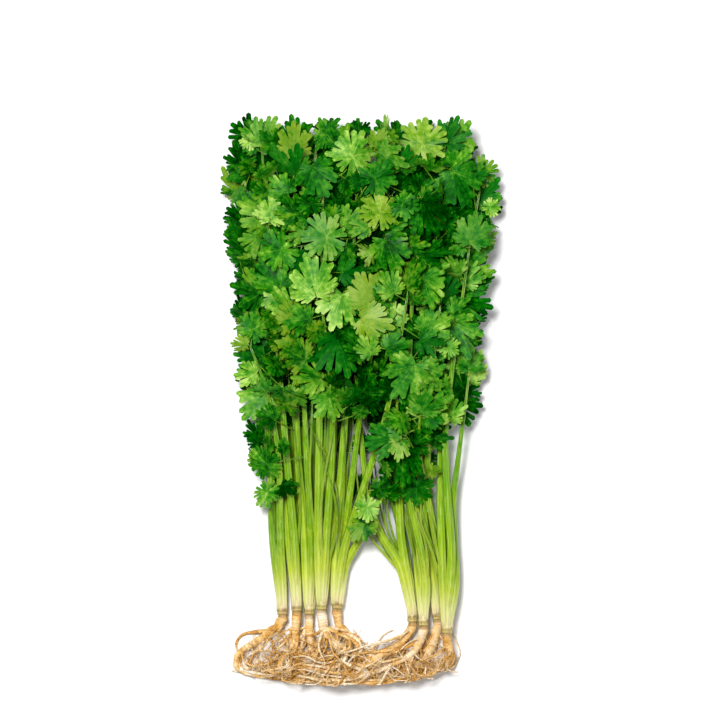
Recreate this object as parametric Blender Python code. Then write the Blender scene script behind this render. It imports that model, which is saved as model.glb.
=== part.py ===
"""A loose bunch of nine young coriander plants with their roots on, lying on a table.

+X is across the bunch, +Y runs from the roots to the leaf tips and +Z is up. Sizes are in millimetres and
become metres where a mesh is made.
"""

import math
import random

import bmesh
import bpy
import numpy as np
from mathutils.bvhtree import BVHTree

# Driving sizes, in millimetres
MM = 0.001
SEED = 11
BLADE = 0.66
CLEAR = 0.4
CROWN_RADIUS = 3.2
CROWN_LENGTH = 11.0
STEM_RADII = (2.5, 2.35, 2.05, 1.7, 1.35, 0.95, 0.55)
STEM_SIDES = 5
TAPROOT_RADII = (2.7, 2.6, 2.2, 1.85, 1.5, 1.2, 0.95, 0.6)
TAPROOT_SIDES = 6
STRAND_RADII = (0.75, 0.7, 0.6, 0.5, 0.4)
STRAND_SIDES = 3
STRANDS = 6
ROOT_END = -158.0
THICKEST = 46.0
ROOT_ROOM = ((-74, -157.5, 1.0), (58, -124, 24))
LAYERS = ((1.0, 13, 18), (0.62, 14, 27), (0.34, 14, 20), (0.05, 14, 24))
MANIFOLD_NODES = ("left_4_roots", "right_3_roots", "left_2_greens", "right_2_roots")
SEAT = (-1.4925, -0.2334, 0.0)

# Each plant: its crown (x, y, z) and its leafy stems. A stem is the point that it passes below the leaves
# and the point where it ends.
PLANTS = {
    "left_1": ((-43, -118, 6), [((-51, -12, 14), (-64, 126, 17)), ((-52, -14, 6), (-62, 66, 8)),
                                ((-47, -12, 22), (-60, 30, 26))]),
    "left_2": ((-35, -116, 10), [((-44, -8, 10), (-54, 142, 22)), ((-42, -10, 20), (-50, 96, 32)),
                                 ((-38, -12, 6), (-44, 58, 8))]),
    "left_3": ((-28, -118, 6), [((-35, -8, 16), (-36, 132, 30)), ((-31, -10, 8), (-40, 104, 12)),
                                ((-30, -12, 25), (-34, 44, 33)), ((-26, -6, 12), (-24, 144, 16))]),
    "left_4": ((-21, -115, 12), [((-22, -6, 22), (-20, 122, 36)), ((-20, -8, 10), (-22, 84, 12)),
                                 ((-15, -8, 28), (-22, 62, 37)), ((-14, -4, 16), (-6, 146, 20))]),
    "left_5": ((-12.5, -115, 6), [((-8, -8, 20), (-2, 112, 34)), ((-6, -8, 8), (0, 76, 12)),
                                ((14, -8, 31), (26, 58, 38)), ((0, -10, 26), (8, 32, 35)),
                                ((13, -50, 20), (24, -16, 24))]),
    "right_1": ((29, -122, 7), [((6, -58, 14), (-4, 34, 22)), ((14, -22, 12), (12, 98, 22)),
                                ((20, -20, 20), (14, 136, 26))]),
    "right_2": ((35, -124, 11), [((24, -20, 10), (28, 138, 14)), ((27, -20, 20), (30, 96, 35)),
                                 ((22, -22, 24), (20, 4, 33))]),
    "right_3": ((43, -121, 7), [((33, -20, 14), (46, 138, 24)), ((36, -16, 6), (42, 76, 10)),
                                ((37, -18, 23), (44, 52, 35)), ((32, -24, 26), (33, -8, 34))]),
    "right_4": ((48, -128, 13), [((44, -20, 12), (66, 116, 18)), ((47, -18, 20), (60, 84, 30)),
                                 ((45, -20, 8), (62, 40, 12)), ((51, -62, 12), (60, 14, 22))]),
}

# Where each taproot goes after it leaves its crown
TAPROOTS = {
    "left_1": [(-46, -127, 6), (-58, -133, 6), (-68, -141, 5), (-70, -150, 4), (-60, -156, 3),
               (-40, -157, 3), (-14, -156, 3)],
    "left_2": [(-36, -127, 9), (-38, -136, 10), (-44, -144, 11), (-48, -150, 9), (-40, -153, 8),
               (-24, -152, 8), (-6, -150, 9)],
    "left_3": [(-28, -128, 6), (-26, -137, 5), (-24, -145, 5), (-16, -149, 4), (-4, -150, 3),
               (8, -151, 3), (20, -152, 2)],
    "left_4": [(-20, -126, 12), (-13, -134, 12), (-8, -141, 12), (-13, -147, 13), (-26, -148, 14),
               (-40, -147, 14), (-54, -149, 12)],
    "left_5": [(-10, -126, 6), (-3, -133, 6), (3, -140, 7), (2, -145, 8), (-8, -146, 9),
               (-22, -143, 9), (-36, -140, 7)],
    "right_1": [(28, -130, 7), (19, -136, 7), (10, -141, 10), (1, -147, 12), (-10, -152, 12),
                (-24, -155, 11), (-40, -154, 10)],
    "right_2": [(34, -132, 11), (30, -138, 12), (20, -144, 13), (8, -149, 15), (-4, -153, 16),
                (-18, -154, 16), (-34, -151, 16)],
    "right_3": [(42, -129, 6), (39, -138, 5), (33, -146, 4), (22, -149, 6), (8, -154, 7),
                (-8, -156, 7), (-26, -157, 7)],
    "right_4": [(50, -138, 12), (49, -143, 9), (44, -149, 8), (33, -153, 7), (20, -154, 11),
                (6, -157, 12), (-10, -157, 12)],
}

# The leaflets that show on top: place (x, y), width and heading in degrees clockwise from +Y
TOP_LEAFLETS = [
    (11, 103, 24, 0), (-4, 134, 28, 20), (16, 133, 22, 115), (34, 141, 28, 5), (54, 145, 23, 30),
    (-18, 90, 27, -75), (-6, 96, 20, 40), (-26, 67, 27, -5), (-14, 51, 25, -140), (8, 43, 22, 110),
    (-36, 45, 22, -20), (-27, 13, 20, -80), (25, 13, 26, -150), (36, 17, 24, 100), (23, -11, 18, -10),
    (-70, 122, 26, -10), (59, 16, 28, 10), (17, 81, 23, 150), (35, 67, 30, 165), (55, 118, 26, 170),
    (73, 119, 22, 80), (3, 61, 22, -10), (-25, 125, 24, 170), (-11, 30, 30, 180), (-41, 130, 26, -60),
    (-61, 151, 26, -30), (-49, 148, 22, 20), (-37, 152, 24, 5), (12, 150, 22, 0), (-56, 104, 24, -60),
    (-64, 39, 26, -80), (-61, 19, 24, -120), (-56, -1, 26, -150), (-62, 61, 24, -90), (-18, 2, 24, 160),
    (39, -4, 26, 60), (45, -25, 22, 120), (24, -32, 26, 170), (13, -21, 20, -100), (31, -47, 20, 170),
    (-52, -34, 22, -100), (-51, -50, 17, -130), (4, -58, 16, 180), (0, -71, 14, -150), (59, 98, 24, 90),
    (64, 76, 24, 60), (63, 54, 24, 110), (54, 36, 26, 150), (-18, 149, 22, -10), (-35, 102, 22, -30),
    (-43, 83, 24, -110), (-40, 1, 22, 170), (37, 102, 24, 160), (42, 42, 22, 60), (-48, 69, 24, -40),
]

# Leaflets that lie flat on the table and carry the bunch: place, width and heading
RESTING_LEAFLETS = [(0, 52, 26, 10), (-50, 118, 24, -30), (50, 116, 24, 40), (-48, 12, 24, -80), (48, 10, 24, 80)]

# Outline of the leafy head: y, left edge, right edge
HEAD = [(-60, -56, 46), (-35, -62, 50), (-16, -64, 53), (0, -67, 66), (28, -70, 69), (55, -71, 72),
        (83, -74, 74), (116, -76, 79), (149, -79, 72), (160, -74, 64)]

# Leaflet outline from its hub: angle from the tip in degrees, reach as a share of the width
LEAFLET = [(0, 0.57), (20, 0.55), (39, 0.31), (58, 0.53), (86, 0.51), (118, 0.46), (170, 0.36)]


def between(rows, y):
    """Edges of the leafy head at a height y."""
    return [float(np.interp(y, [r[0] for r in rows], [r[k] for r in rows])) for k in (1, 2)]


def head_depth(x, y):
    """Lowest and highest level of the leafy head over a place."""
    left, right = between(HEAD, y)
    off = abs(2 * (x - left) / (right - left) - 1)
    full = max(0.0, 1 - off ** 3)
    end = min(1.0, max(0.0, (168 - y) / 40)) * min(1.0, max(0.4, (y + 95) / 80))
    return 1.0 + 9 * off ** 3, 13 + 31 * full * end


def unit(v):
    return v / max(np.linalg.norm(v), 1e-9)


def spline(points, count):
    """Points evenly spaced along a smooth line through the given ones."""
    p = np.array(points, float)
    p = np.vstack([2 * p[0] - p[1], p, 2 * p[-1] - p[-2]])
    out = []
    for i in range(1, len(p) - 2):
        for t in np.linspace(0, 1, 16, endpoint=False):
            a, b, c, d = p[i - 1:i + 3]
            out.append(0.5 * (2 * b + (c - a) * t + (2 * a - 5 * b + 4 * c - d) * t * t
                              + (3 * b - a - 3 * c + d) * t ** 3))
    out.append(p[-2])
    out = np.array(out)
    run = np.concatenate([[0], np.cumsum(np.linalg.norm(np.diff(out, axis=0), axis=1))])
    return np.array([[np.interp(s, run, out[:, k]) for k in range(3)] for s in np.linspace(0, run[-1], count)])


def closest(p1, q1, p2, q2):
    """Where two straight pieces come closest, as shares of their lengths."""
    d1, d2, r = q1 - p1, q2 - p2, p1 - p2
    a, e, f = (d1 * d1).sum(1), (d2 * d2).sum(1), (d2 * r).sum(1)
    b, c = (d1 * d2).sum(1), (d1 * r).sum(1)
    den = a * e - b * b
    s = np.clip(np.where(den > 1e-6, (b * f - c * e) / np.maximum(den, 1e-6), 0.5), 0, 1)
    t = (b * s + f) / e
    s = np.where(t < 0, np.clip(-c / a, 0, 1), np.where(t > 1, np.clip((b - c) / a, 0, 1), s))
    return s, np.clip(t, 0, 1)


def settle(lines, rounds):
    """Lines pushed apart until they lie side by side. A line: points, radii, plant, number of fixed points."""
    points = np.vstack([line["points"] for line in lines])
    radii = np.concatenate([line["radii"] for line in lines])
    free = np.concatenate([(np.arange(len(line["points"])) >= line["fixed"]) * 1.0 for line in lines])
    start, owner, first = [], [], []
    base = 0
    for k, line in enumerate(lines):
        for i in range(len(line["points"]) - 1):
            start.append(base + i)
            owner.append(k)
            first.append(i < line["joined"])
        base += len(line["points"])
    start, owner, first = np.array(start), np.array(owner), np.array(first)
    group = np.array([line["plant"] for line in lines])[owner]
    i, j = np.triu_indices(len(start), 1)
    keep = (owner[i] != owner[j]) & ~((group[i] == group[j]) & (first[i] | first[j]))
    keep &= free[start[i]] + free[start[i] + 1] + free[start[j]] + free[start[j] + 1] > 0
    i, j = i[keep], j[keep]
    a, b, c, d = start[i], start[i] + 1, start[j], start[j] + 1
    home = points.copy()
    worst = 0.0
    for turn in range(rounds):
        s, t = closest(points[a], points[b], points[c], points[d])
        gap = (points[a] * (1 - s)[:, None] + points[b] * s[:, None]
               - points[c] * (1 - t)[:, None] - points[d] * t[:, None])
        far = np.linalg.norm(gap, axis=1)
        need = radii[a] * (1 - s) + radii[b] * s + radii[c] * (1 - t) + radii[d] * t + CLEAR
        push = np.maximum(need - far, 0)
        worst = float(push.max())
        if worst < 0.02:
            break
        way = gap / np.maximum(far, 1e-6)[:, None] + (far < 1e-3)[:, None] * np.array([0, 0, 1.0])
        move = np.zeros_like(points)
        for index, share in ((a, 1 - s), (b, s)):
            np.add.at(move, index, way * (push * share * 0.45)[:, None])
        for index, share in ((c, 1 - t), (d, t)):
            np.add.at(move, index, -way * (push * share * 0.45)[:, None])
        size = np.linalg.norm(move, axis=1)
        move *= np.minimum(1, 1.2 / np.maximum(size, 1e-9))[:, None]
        points += move * free[:, None]
        if turn < rounds * 0.7:
            points += (home - points) * 0.01 * free[:, None]
        points[:, 2] = np.maximum(points[:, 2], radii * free)
        points[:, 1] = np.maximum(points[:, 1], radii + ROOT_END)
    at = 0
    for k, line in enumerate(lines):
        line["points"] = points[at:at + len(line["points"])]
        at += len(line["points"])
        line["tight"] = max(push[(owner[i] == k) | (owner[j] == k)], default=0)
    return worst


def tube(points, radii, sides, turn=0.0):
    """A closed round body along a line."""
    p = np.array(points, float)
    way = np.gradient(p, axis=0)
    way[0] = p[1] - p[0]
    way[-1] = p[-1] - p[-2]
    across = unit(np.cross(way[0], (0.31, 0.17, 1.0)))
    verts, faces = [], []
    for k in range(len(p)):
        along = unit(way[k])
        across = unit(across - along * across.dot(along))
        other = np.cross(along, across)
        for n in range(sides):
            angle = turn + 2 * math.pi * n / sides
            verts.append(p[k] + radii[k] * (math.cos(angle) * across + math.sin(angle) * other))
    for k in range(len(p) - 1):
        for n in range(sides):
            m = (n + 1) % sides
            faces.append((k * sides + n, k * sides + m, (k + 1) * sides + m, (k + 1) * sides + n))
    faces.append(tuple(range(sides - 1, -1, -1)))
    faces.append(tuple((len(p) - 1) * sides + n for n in range(sides)))
    return np.array(verts), faces


def leaflet(hub, tip_way, face_way, width, root, bend, grow=0.0):
    """One lobed blade with its stalk down to a root point, as a closed body. grow thickens it for tests."""
    v = unit(tip_way)
    w = unit(face_way - v * face_way.dot(v))
    u = np.cross(v, w)
    ring = LEAFLET[:0:-1] + [(-a, r) for a, r in LEAFLET]
    half = BLADE / 2 + grow
    flat = []
    for angle, reach in ring:
        r = reach * width + grow
        angle = math.radians(-angle)
        side, ahead = r * math.sin(angle), r * math.cos(angle)
        lift = bend[0] * reach * reach * width + bend[1] * side * side / width - bend[2] * max(ahead, 0) ** 2 / width
        flat.append(hub + u * side + v * ahead + w * lift)
    n = len(flat)
    verts = [hub + w * half, hub - w * half]
    verts += [p + w * half for p in flat]
    verts += [p - w * half for p in flat]
    faces = []
    for k in range(n):
        m = (k + 1) % n
        faces.append((0, 2 + m, 2 + k))
        faces.append((1, 2 + n + k, 2 + n + m))
        if k < n - 1:
            faces.append((2 + k, 2 + m, 2 + n + m, 2 + n + k))
    middle = (flat[0] + flat[-1]) / 2
    way = unit(root - middle)
    side = unit(u - way * u.dot(way))
    thick = np.cross(side, way)
    thick *= math.copysign(1, thick.dot(w))
    stalk = 0.5 + grow
    ends = [root + side * stalk * e + thick * half * f for e, f in ((1, 1), (-1, 1), (-1, -1), (1, -1))]
    low = [2, 2 + n - 1, 2 + 2 * n - 1, 2 + n]
    if (verts[2] - verts[2 + n - 1]).dot(side) < 0:
        ends = [ends[1], ends[0], ends[3], ends[2]]
    at = len(verts)
    verts += ends
    for k in range(4):
        m = (k + 1) % 4
        faces.append((low[k], low[m], at + m, at + k))
    faces.append((at, at + 1, at + 2, at + 3))
    return np.array(verts), faces


def tree(body):
    return BVHTree.FromPolygons([tuple(map(float, p)) for p in body[0]], body[1])


class Space:
    """The bodies placed so far, for clearance tests."""

    def __init__(self):
        self.items = []
        self.low = np.zeros((0, 3))
        self.high = np.zeros((0, 3))

    def add(self, body, tag):
        self.items.append((tree(body), tag))
        self.low = np.vstack([self.low, body[0].min(0)])
        self.high = np.vstack([self.high, body[0].max(0)])

    def clear(self, body, skip=(), only=None):
        low, high = body[0].min(0), body[0].max(0)
        near = np.nonzero(((self.low <= high) & (self.high >= low)).all(1))[0]
        own = None
        for k in near:
            shape, tag = self.items[k]
            if tag in skip or (only and tag != only):
                continue
            own = own or tree(body)
            if own.overlap(shape):
                return False
        return True


def lay_out():
    """Every line and leaflet of the bunch."""
    names = list(PLANTS)
    lines = []
    for index, name in enumerate(names):
        crown, stems = PLANTS[name]
        crown = np.array(crown, float)
        up = crown + (0, CROWN_LENGTH, 0)
        lines.append({"points": np.array([crown, up]), "radii": np.array([CROWN_RADIUS] * 2), "plant": index,
                      "fixed": 2, "joined": 1, "kind": "crown"})
        for k, (passing, tip) in enumerate(stems):
            spread = (k - (len(stems) - 1) / 2) * 0.9
            out = crown + (spread, CROWN_LENGTH * 0.55, 0.7 * (-1) ** k)
            near = out + (spread * 1.2, 16, 0)
            path = spline([out, near, passing, tip], len(STEM_RADII))
            lines.append({"points": path, "radii": np.array(STEM_RADII), "plant": index, "fixed": 1,
                          "joined": 1, "kind": "stem"})
    slack_stems = settle(lines, 400)
    roots = [dict(line, fixed=99, joined=99) for line in lines if line["kind"] == "crown"]
    for index, name in enumerate(names):
        crown = np.array(PLANTS[name][0], float)
        top = crown - (0, 0.35, 0)
        path = spline([top - (0, 2.5, 0)] + TAPROOTS[name], len(TAPROOT_RADII) - 1)
        roots.append({"points": np.vstack([top, path]), "radii": np.array(TAPROOT_RADII), "plant": index,
                      "fixed": 2, "joined": 2, "kind": "taproot"})
    settle(roots, 300)
    rng = random.Random(SEED)
    for line in [r for r in roots if r["kind"] == "taproot"]:
        line["fixed"] = 99
        for k in range(STRANDS):
            joint = 1 + k % 6
            start = line["points"][joint]
            along = unit(line["points"][joint + 1] - line["points"][joint - 1])
            way = unit(along + [rng.uniform(-1, 1), rng.uniform(-0.9, 0.3), rng.uniform(-0.5, 0.7)])
            path = [start]
            for _ in STRAND_RADII[1:]:
                way = unit(way + [rng.uniform(-0.6, 0.6), rng.uniform(-0.5, 0.3), rng.uniform(-0.4, 0.4)])
                spot = path[-1] + way * rng.uniform(6, 10)
                path.append(np.clip(spot, ROOT_ROOM[0], ROOT_ROOM[1]))
            roots.append({"points": np.array(path), "radii": np.array(STRAND_RADII), "plant": line["plant"],
                          "fixed": 1, "joined": 2, "kind": "strand"})
    slack = settle(roots, 300)
    while slack > 0.25:
        loose = [line for line in roots if line["kind"] == "strand"]
        worst = max(loose, key=lambda line: line["tight"])
        roots = [line for line in roots if line is not worst]
        slack = settle(roots, 60)
    print("stems", round(slack_stems, 3), "roots", round(slack, 3))
    return names, lines, [r for r in roots if r["kind"] != "crown"]


def lay_leaflets(names, lines):
    """Every leaflet, held clear of the rest: its stem and the values that shape it."""
    rng = random.Random(SEED + 1)
    space = Space()
    spots, owners = [], []
    stems = [line for line in lines if line["kind"] == "stem"]
    for line in lines:
        for k in range(len(line["points"]) - 1):
            piece = tube(line["points"][k:k + 2], line["radii"][k:k + 2], STEM_SIDES)
            space.add(piece, ("stem", id(line)))
    for number, line in enumerate(stems):
        run = spline(line["points"], 60)
        for k, spot in enumerate(run[:59]):
            if spot[1] > -62 and k > 24:
                spots.append(spot)
                owners.append(number)
    spots, owners = np.array(spots), np.array(owners)
    load = np.zeros(len(stems))
    placed = []
    cells = np.array([(x, y) for x in np.arange(-78, 79, 3.0) for y in np.arange(-10, 158, 3.0)])
    cover = np.zeros(len(cells))

    def attempt(hub, tip, face, width, root, owner, bend):
        shape = (hub, tip, face, width, root, bend)
        real = leaflet(*shape)
        low, high = real[0].min(0), real[0].max(0)
        left, right = between(HEAD, hub[1])
        if low[2] < -0.001 or high[2] > THICKEST or high[1] > 158.5 or low[0] < left - 1.5 or high[0] > right + 1.5:
            return False
        body = leaflet(*shape, grow=CLEAR / 2)
        if not space.clear(body, skip=(("stem", id(stems[owner])),)):
            return False
        blade = (body[0][:-4], body[1][:-5])
        if not space.clear(blade, only=("stem", id(stems[owner]))):
            return False
        space.add(leaflet(*shape, grow=CLEAR / 4), ("leaf", owner))
        load[owner] += 1
        cover[np.hypot(cells[:, 0] - hub[0], cells[:, 1] - hub[1]) < 0.42 * width] += 1
        placed.append((owner, shape))
        return True

    def seek(x, y, level, width, heading, flat=False, tries=90, lean=0.3):
        """A clear place near the wished one, with a stalk that reaches a stem behind it."""
        for n in range(tries):
            loose = n / tries
            low, high = head_depth(x, y)
            hub = np.array([x + rng.uniform(-1, 1) * 7 * loose, y + rng.uniform(-1, 1) * 7 * loose,
                            low + (high - low) * level - 2 - rng.uniform(0, 1) * 9 * loose])
            if level < 0.3:
                hub[2] = low + 1.5 + rng.uniform(0, 1) * 8 * loose
            tilt = rng.uniform(-lean, lean)
            face = np.array([rng.uniform(-lean, lean), rng.uniform(-lean, lean), 1.0 if level > 0.25 else -1.0])
            size = width * (1 - 0.15 * loose)
            if flat:
                hub[2], tilt, face = BLADE / 2, 0.0, np.array([0, 0, 1.0])
            gap = np.linalg.norm(spots - hub, axis=1)
            if heading is None:
                near = np.nonzero((gap > 9) & (gap < 30))[0]
                if not len(near):
                    continue
                cost = gap[near] + 1.2 * load[owners[near]] + 0.7 * np.maximum(spots[near, 1] - hub[1], 0)
                pick = near[np.argsort(cost)[min(int(rng.random() ** 2 * 24), len(near) - 1)]]
                tip = unit(hub - spots[pick])
                tip[2] = min(max(tip[2], -0.5), 0.5)
                turn = math.radians(rng.uniform(-35, 35))
                tip = np.array([tip[0] * math.cos(turn) - tip[1] * math.sin(turn),
                                tip[0] * math.sin(turn) + tip[1] * math.cos(turn), tip[2] + tilt * 0.4])
            else:
                angle = math.radians(heading + rng.uniform(-1, 1) * (8 + 60 * loose))
                tip = np.array([math.sin(angle), math.cos(angle), tilt])
            tip = unit(tip)
            base = hub - tip * 0.36 * size
            back = spots - base
            far = np.linalg.norm(back, axis=1)
            lined = -(back @ tip) / np.maximum(far, 1e-6)
            fit = np.nonzero((far > 3.5) & (far < 26) & (lined > 0.55))[0]
            if not len(fit):
                continue
            cost = far[fit] + 8 * (1 - lined[fit]) + 1.0 * load[owners[fit]]
            order = fit[np.argsort(cost)]
            bend = (rng.uniform(-0.25, 0.25), rng.uniform(-0.35, 0.1), rng.uniform(-0.1, 0.3))
            if flat:
                bend = (0.0, 0.0, 0.0)
            for pick in order[:1 + len(order) // 6:3][:4]:
                if attempt(hub, tip, face, size, spots[pick], owners[pick], bend):
                    return True
        return False

    missed = []
    for x, y, width, heading in RESTING_LEAFLETS:
        if not seek(x, y, 0, width, heading, flat=True):
            missed.append(("rest", x, y))
    for x, y, width, heading in TOP_LEAFLETS:
        if not seek(x, y, 1.0, width, heading):
            missed.append(("top", x, y))
    for number, line in enumerate(stems):
        tip = line["points"][-1]
        way = unit(line["points"][-1] - line["points"][-2])
        for n in range(40):
            ahead = unit(way + [rng.uniform(-0.6, 0.6), rng.uniform(-0.3, 0.3), rng.uniform(-0.5, 0.5)])
            size = rng.uniform(17, 23) * (1 - 0.3 * n / 40)
            face = np.array([rng.uniform(-0.6, 0.6), rng.uniform(-0.6, 0.6), 1.0])
            hub = tip + ahead * (0.36 * size + 3)
            if attempt(hub, ahead, face, size, tip - way * 0.8, number, (0.1, -0.1, 0.1)):
                break
        else:
            missed.append(("end", round(tip[0]), round(tip[1])))
    tops = [(x, y) for x, y, _, _ in TOP_LEAFLETS]
    for level, apart, wanted in LAYERS:
        taken = list(tops) if level > 0.9 else []
        if level < 0.2:
            taken = [(x, y) for x, y, _, _ in RESTING_LEAFLETS]
        count = 0
        for _ in range(70):
            best = None
            for _ in range(14):
                y = rng.uniform(-6, 151)
                left, right = between(HEAD, y)
                x = rng.uniform(left + 8, right - 8)
                if min([math.hypot(x - a, y - b) for a, b in taken] + [99]) < apart:
                    continue
                bare = cover[np.hypot(cells[:, 0] - x, cells[:, 1] - y) < 10]
                score = (bare == 0).sum() + 0.25 * (bare == 1).sum() + rng.random()
                if best is None or score > best[0]:
                    best = (score, x, y)
            if best is None or count >= wanted:
                break
            if seek(best[1], best[2], level, rng.uniform(19, 25), None, tries=14, lean=0.45):
                taken.append(best[1:])
                count += 1
        print("level", level, "leaflets", count)
    print("leaflets", len(placed), "missed", missed)
    print("per stem", [int(n) for n in load])
    return stems, placed


def mesh_object(name, body):
    """An object made of one closed body."""
    mesh = bpy.data.meshes.new(name)
    work = bmesh.new()
    points = [work.verts.new(tuple(float(c) * MM for c in p)) for p in body[0]]
    for face in body[1]:
        work.faces.new([points[k] for k in face])
    bmesh.ops.triangulate(work, faces=work.faces[:])
    bmesh.ops.recalc_face_normals(work, faces=work.faces[:])
    work.to_mesh(mesh)
    work.free()
    item = bpy.data.objects.new(name, mesh)
    bpy.context.scene.collection.objects.link(item)
    return item


def tidied(mesh, flatten):
    """The largest closed body of a joined mesh, with its flat faces merged where flatten is set."""
    work = bmesh.new()
    work.from_mesh(mesh)
    bmesh.ops.remove_doubles(work, verts=work.verts[:], dist=0.000002)
    bmesh.ops.dissolve_degenerate(work, edges=work.edges[:], dist=0.000002)
    if flatten:
        bmesh.ops.dissolve_limit(work, angle_limit=0.01, verts=work.verts[:], edges=work.edges[:])
    bmesh.ops.triangulate(work, faces=work.faces[:])
    islands = []
    seen = set()
    for corner in work.verts:
        if corner in seen:
            continue
        seen.add(corner)
        found, reach = [corner], [corner]
        while reach:
            for edge in reach.pop().link_edges:
                for other in edge.verts:
                    if other not in seen:
                        seen.add(other)
                        found.append(other)
                        reach.append(other)
        islands.append(found)
    islands.sort(key=len, reverse=True)
    loose = [corner for island in islands[1:] for corner in island]
    bmesh.ops.delete(work, geom=loose, context="VERTS")
    bmesh.ops.recalc_face_normals(work, faces=work.faces[:])
    return work


def fused(name, bodies, material):
    """One closed body out of several that run into each other."""
    base = mesh_object(name, bodies[0])
    parts = bpy.data.collections.new(name + "_parts")
    bpy.context.scene.collection.children.link(parts)
    for body in bodies[1:]:
        piece = mesh_object(name + "_piece", body)
        bpy.context.scene.collection.objects.unlink(piece)
        parts.objects.link(piece)
    join = base.modifiers.new("join", "BOOLEAN")
    join.operation = "UNION"
    join.operand_type = "COLLECTION"
    join.collection = parts
    join.solver = "MANIFOLD" if name in MANIFOLD_NODES else "EXACT"
    bpy.context.view_layer.update()
    view = bpy.context.evaluated_depsgraph_get()
    mesh = bpy.data.meshes.new_from_object(base.evaluated_get(view))
    base.modifiers.clear()
    base.data = mesh
    for piece in list(parts.objects):
        bpy.data.objects.remove(piece)
    bpy.data.collections.remove(parts)
    work = tidied(base.data, True)
    if any(len(edge.link_faces) != 2 for edge in work.edges):
        work.free()
        work = tidied(base.data, False)
    work.to_mesh(base.data)
    count = len(work.faces)
    work.free()
    base.data.materials.clear()
    base.data.materials.append(material)
    print(name, "faces", count)
    return base


def plain_material(name, colour, roughness):
    material = bpy.data.materials.new(name)
    material.use_nodes = True
    shader = material.node_tree.nodes["Principled BSDF"]
    shader.inputs["Base Color"].default_value = (*colour, 1)
    shader.inputs["Roughness"].default_value = roughness
    shader.inputs["Metallic"].default_value = 0.0
    return material


def build():
    for item in list(bpy.data.objects):
        bpy.data.objects.remove(item)
    names, lines, roots = lay_out()
    stems, placed = lay_leaflets(names, lines)
    made = []
    for index, name in enumerate(names):
        crown = next(l for l in lines if l["kind"] == "crown" and l["plant"] == index)
        bodies = [tube(crown["points"], crown["radii"], 8)]
        for number, line in enumerate(stems):
            if line["plant"] != index:
                continue
            bodies.append(tube(line["points"], line["radii"], STEM_SIDES, 0.3 * number))
            bodies += [leaflet(*shape) for owner, shape in placed if owner == number]
        leaf_colour = plain_material(name + "_leaf_green", (0.13, 0.33, 0.03), 0.55)
        made.append(fused(name + "_greens", bodies, leaf_colour))
        bodies = []
        for line in roots:
            if line["plant"] == index:
                sides = TAPROOT_SIDES if line["kind"] == "taproot" else STRAND_SIDES
                bodies.append(tube(line["points"], line["radii"], sides, 0.4 * len(bodies)))
        root_colour = plain_material(name + "_root_tan", (0.62, 0.38, 0.16), 0.75)
        made.append(fused(name + "_roots", bodies, root_colour))
    corners = np.array([tuple(v.co) for item in made for v in item.data.vertices]) / MM
    low, high = corners.min(0), corners.max(0)
    print("low", low.round(3), "high", high.round(3), "faces", sum(len(item.data.polygons) for item in made))
    shift = np.array([-(low[0] + high[0]) / 2, -(low[1] + high[1]) / 2, -low[2]])
    print("seat", shift.round(4))
    for item in made:
        for corner in item.data.vertices:
            corner.co = [float(c + s * MM) for c, s in zip(corner.co, SEAT)]
    return made


if __name__ == "__main__":
    build()
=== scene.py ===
# %% [markdown]
# # A bunch of young coriander, lying on a table
# Nine young plants, pulled whole with their roots on, lie side by side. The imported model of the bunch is
# already right in place and size, so it is loaded first and never moved. Everything made below is laid on
# it: fine leaflets over its plain ones, round stems over its faceted ones, and roots with all their hairs.

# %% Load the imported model
import math
import random
import bpy
import numpy as np
from mathutils.bvhtree import BVHTree
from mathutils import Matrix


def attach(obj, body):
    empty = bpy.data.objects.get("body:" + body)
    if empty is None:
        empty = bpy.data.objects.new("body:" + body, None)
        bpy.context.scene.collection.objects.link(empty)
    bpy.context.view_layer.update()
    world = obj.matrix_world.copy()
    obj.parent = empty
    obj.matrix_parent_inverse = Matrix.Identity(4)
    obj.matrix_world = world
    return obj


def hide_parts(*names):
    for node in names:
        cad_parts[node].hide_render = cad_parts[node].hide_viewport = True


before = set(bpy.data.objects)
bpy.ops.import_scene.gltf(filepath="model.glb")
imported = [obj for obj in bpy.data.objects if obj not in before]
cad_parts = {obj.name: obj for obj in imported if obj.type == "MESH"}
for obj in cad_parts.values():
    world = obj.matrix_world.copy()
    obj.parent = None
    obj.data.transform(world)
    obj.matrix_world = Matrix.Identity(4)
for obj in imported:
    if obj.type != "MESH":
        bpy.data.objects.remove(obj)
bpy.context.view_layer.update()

print("nodes in the frame:", len(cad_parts))

# %% [markdown]
# ## The sizes of the plants
# All sizes are in millimetres, as a gardener would measure them, and become metres where a mesh is made.
# Each plant has a crown, where its leaf stems and its root meet. A leaf stem is written as the point that
# it passes below the leaves and the point where it ends: a smooth line through these is all that it needs.

# %% Sizes and places of the plants
# A millimetre in metres, and the seed that every random draw starts from
MM = 0.001
SEED = 11

# How thick a plain blade is, and the room left between two bodies
BLADE = 0.66
CLEAR = 0.4

# The crown is a short thick rod. Stems, taproots and root strands thin out from point to point
CROWN_RADIUS = 3.2
CROWN_LENGTH = 11.0
STEM_RADII = (2.5, 2.35, 2.05, 1.7, 1.35, 0.95, 0.55)
STEM_SIDES = 5
THIN_STEMS = 6
TAPROOT_RADII = (2.7, 2.6, 2.2, 1.85, 1.5, 1.2, 0.95, 0.6)
STRAND_RADII = (0.75, 0.7, 0.6, 0.5, 0.4)
STRANDS = 6

# The box that the roots lie in, where they end, how thick and long the bunch may be, and how far a leaflet
# may stand out at its sides
ROOT_ROOM = ((-74, -157.5, 1.0), (58, -124, 24))
ROOT_END = -158.0
THICKEST = 46.0
HEAD_END = 158.5
HEAD_EDGE = 1.5

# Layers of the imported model's leaflets: level from 0 at the table to 1 on top, distance apart, how many
LAYERS = ((1.0, 13, 18), (0.62, 14, 27), (0.34, 14, 20), (0.05, 14, 24))
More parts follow.
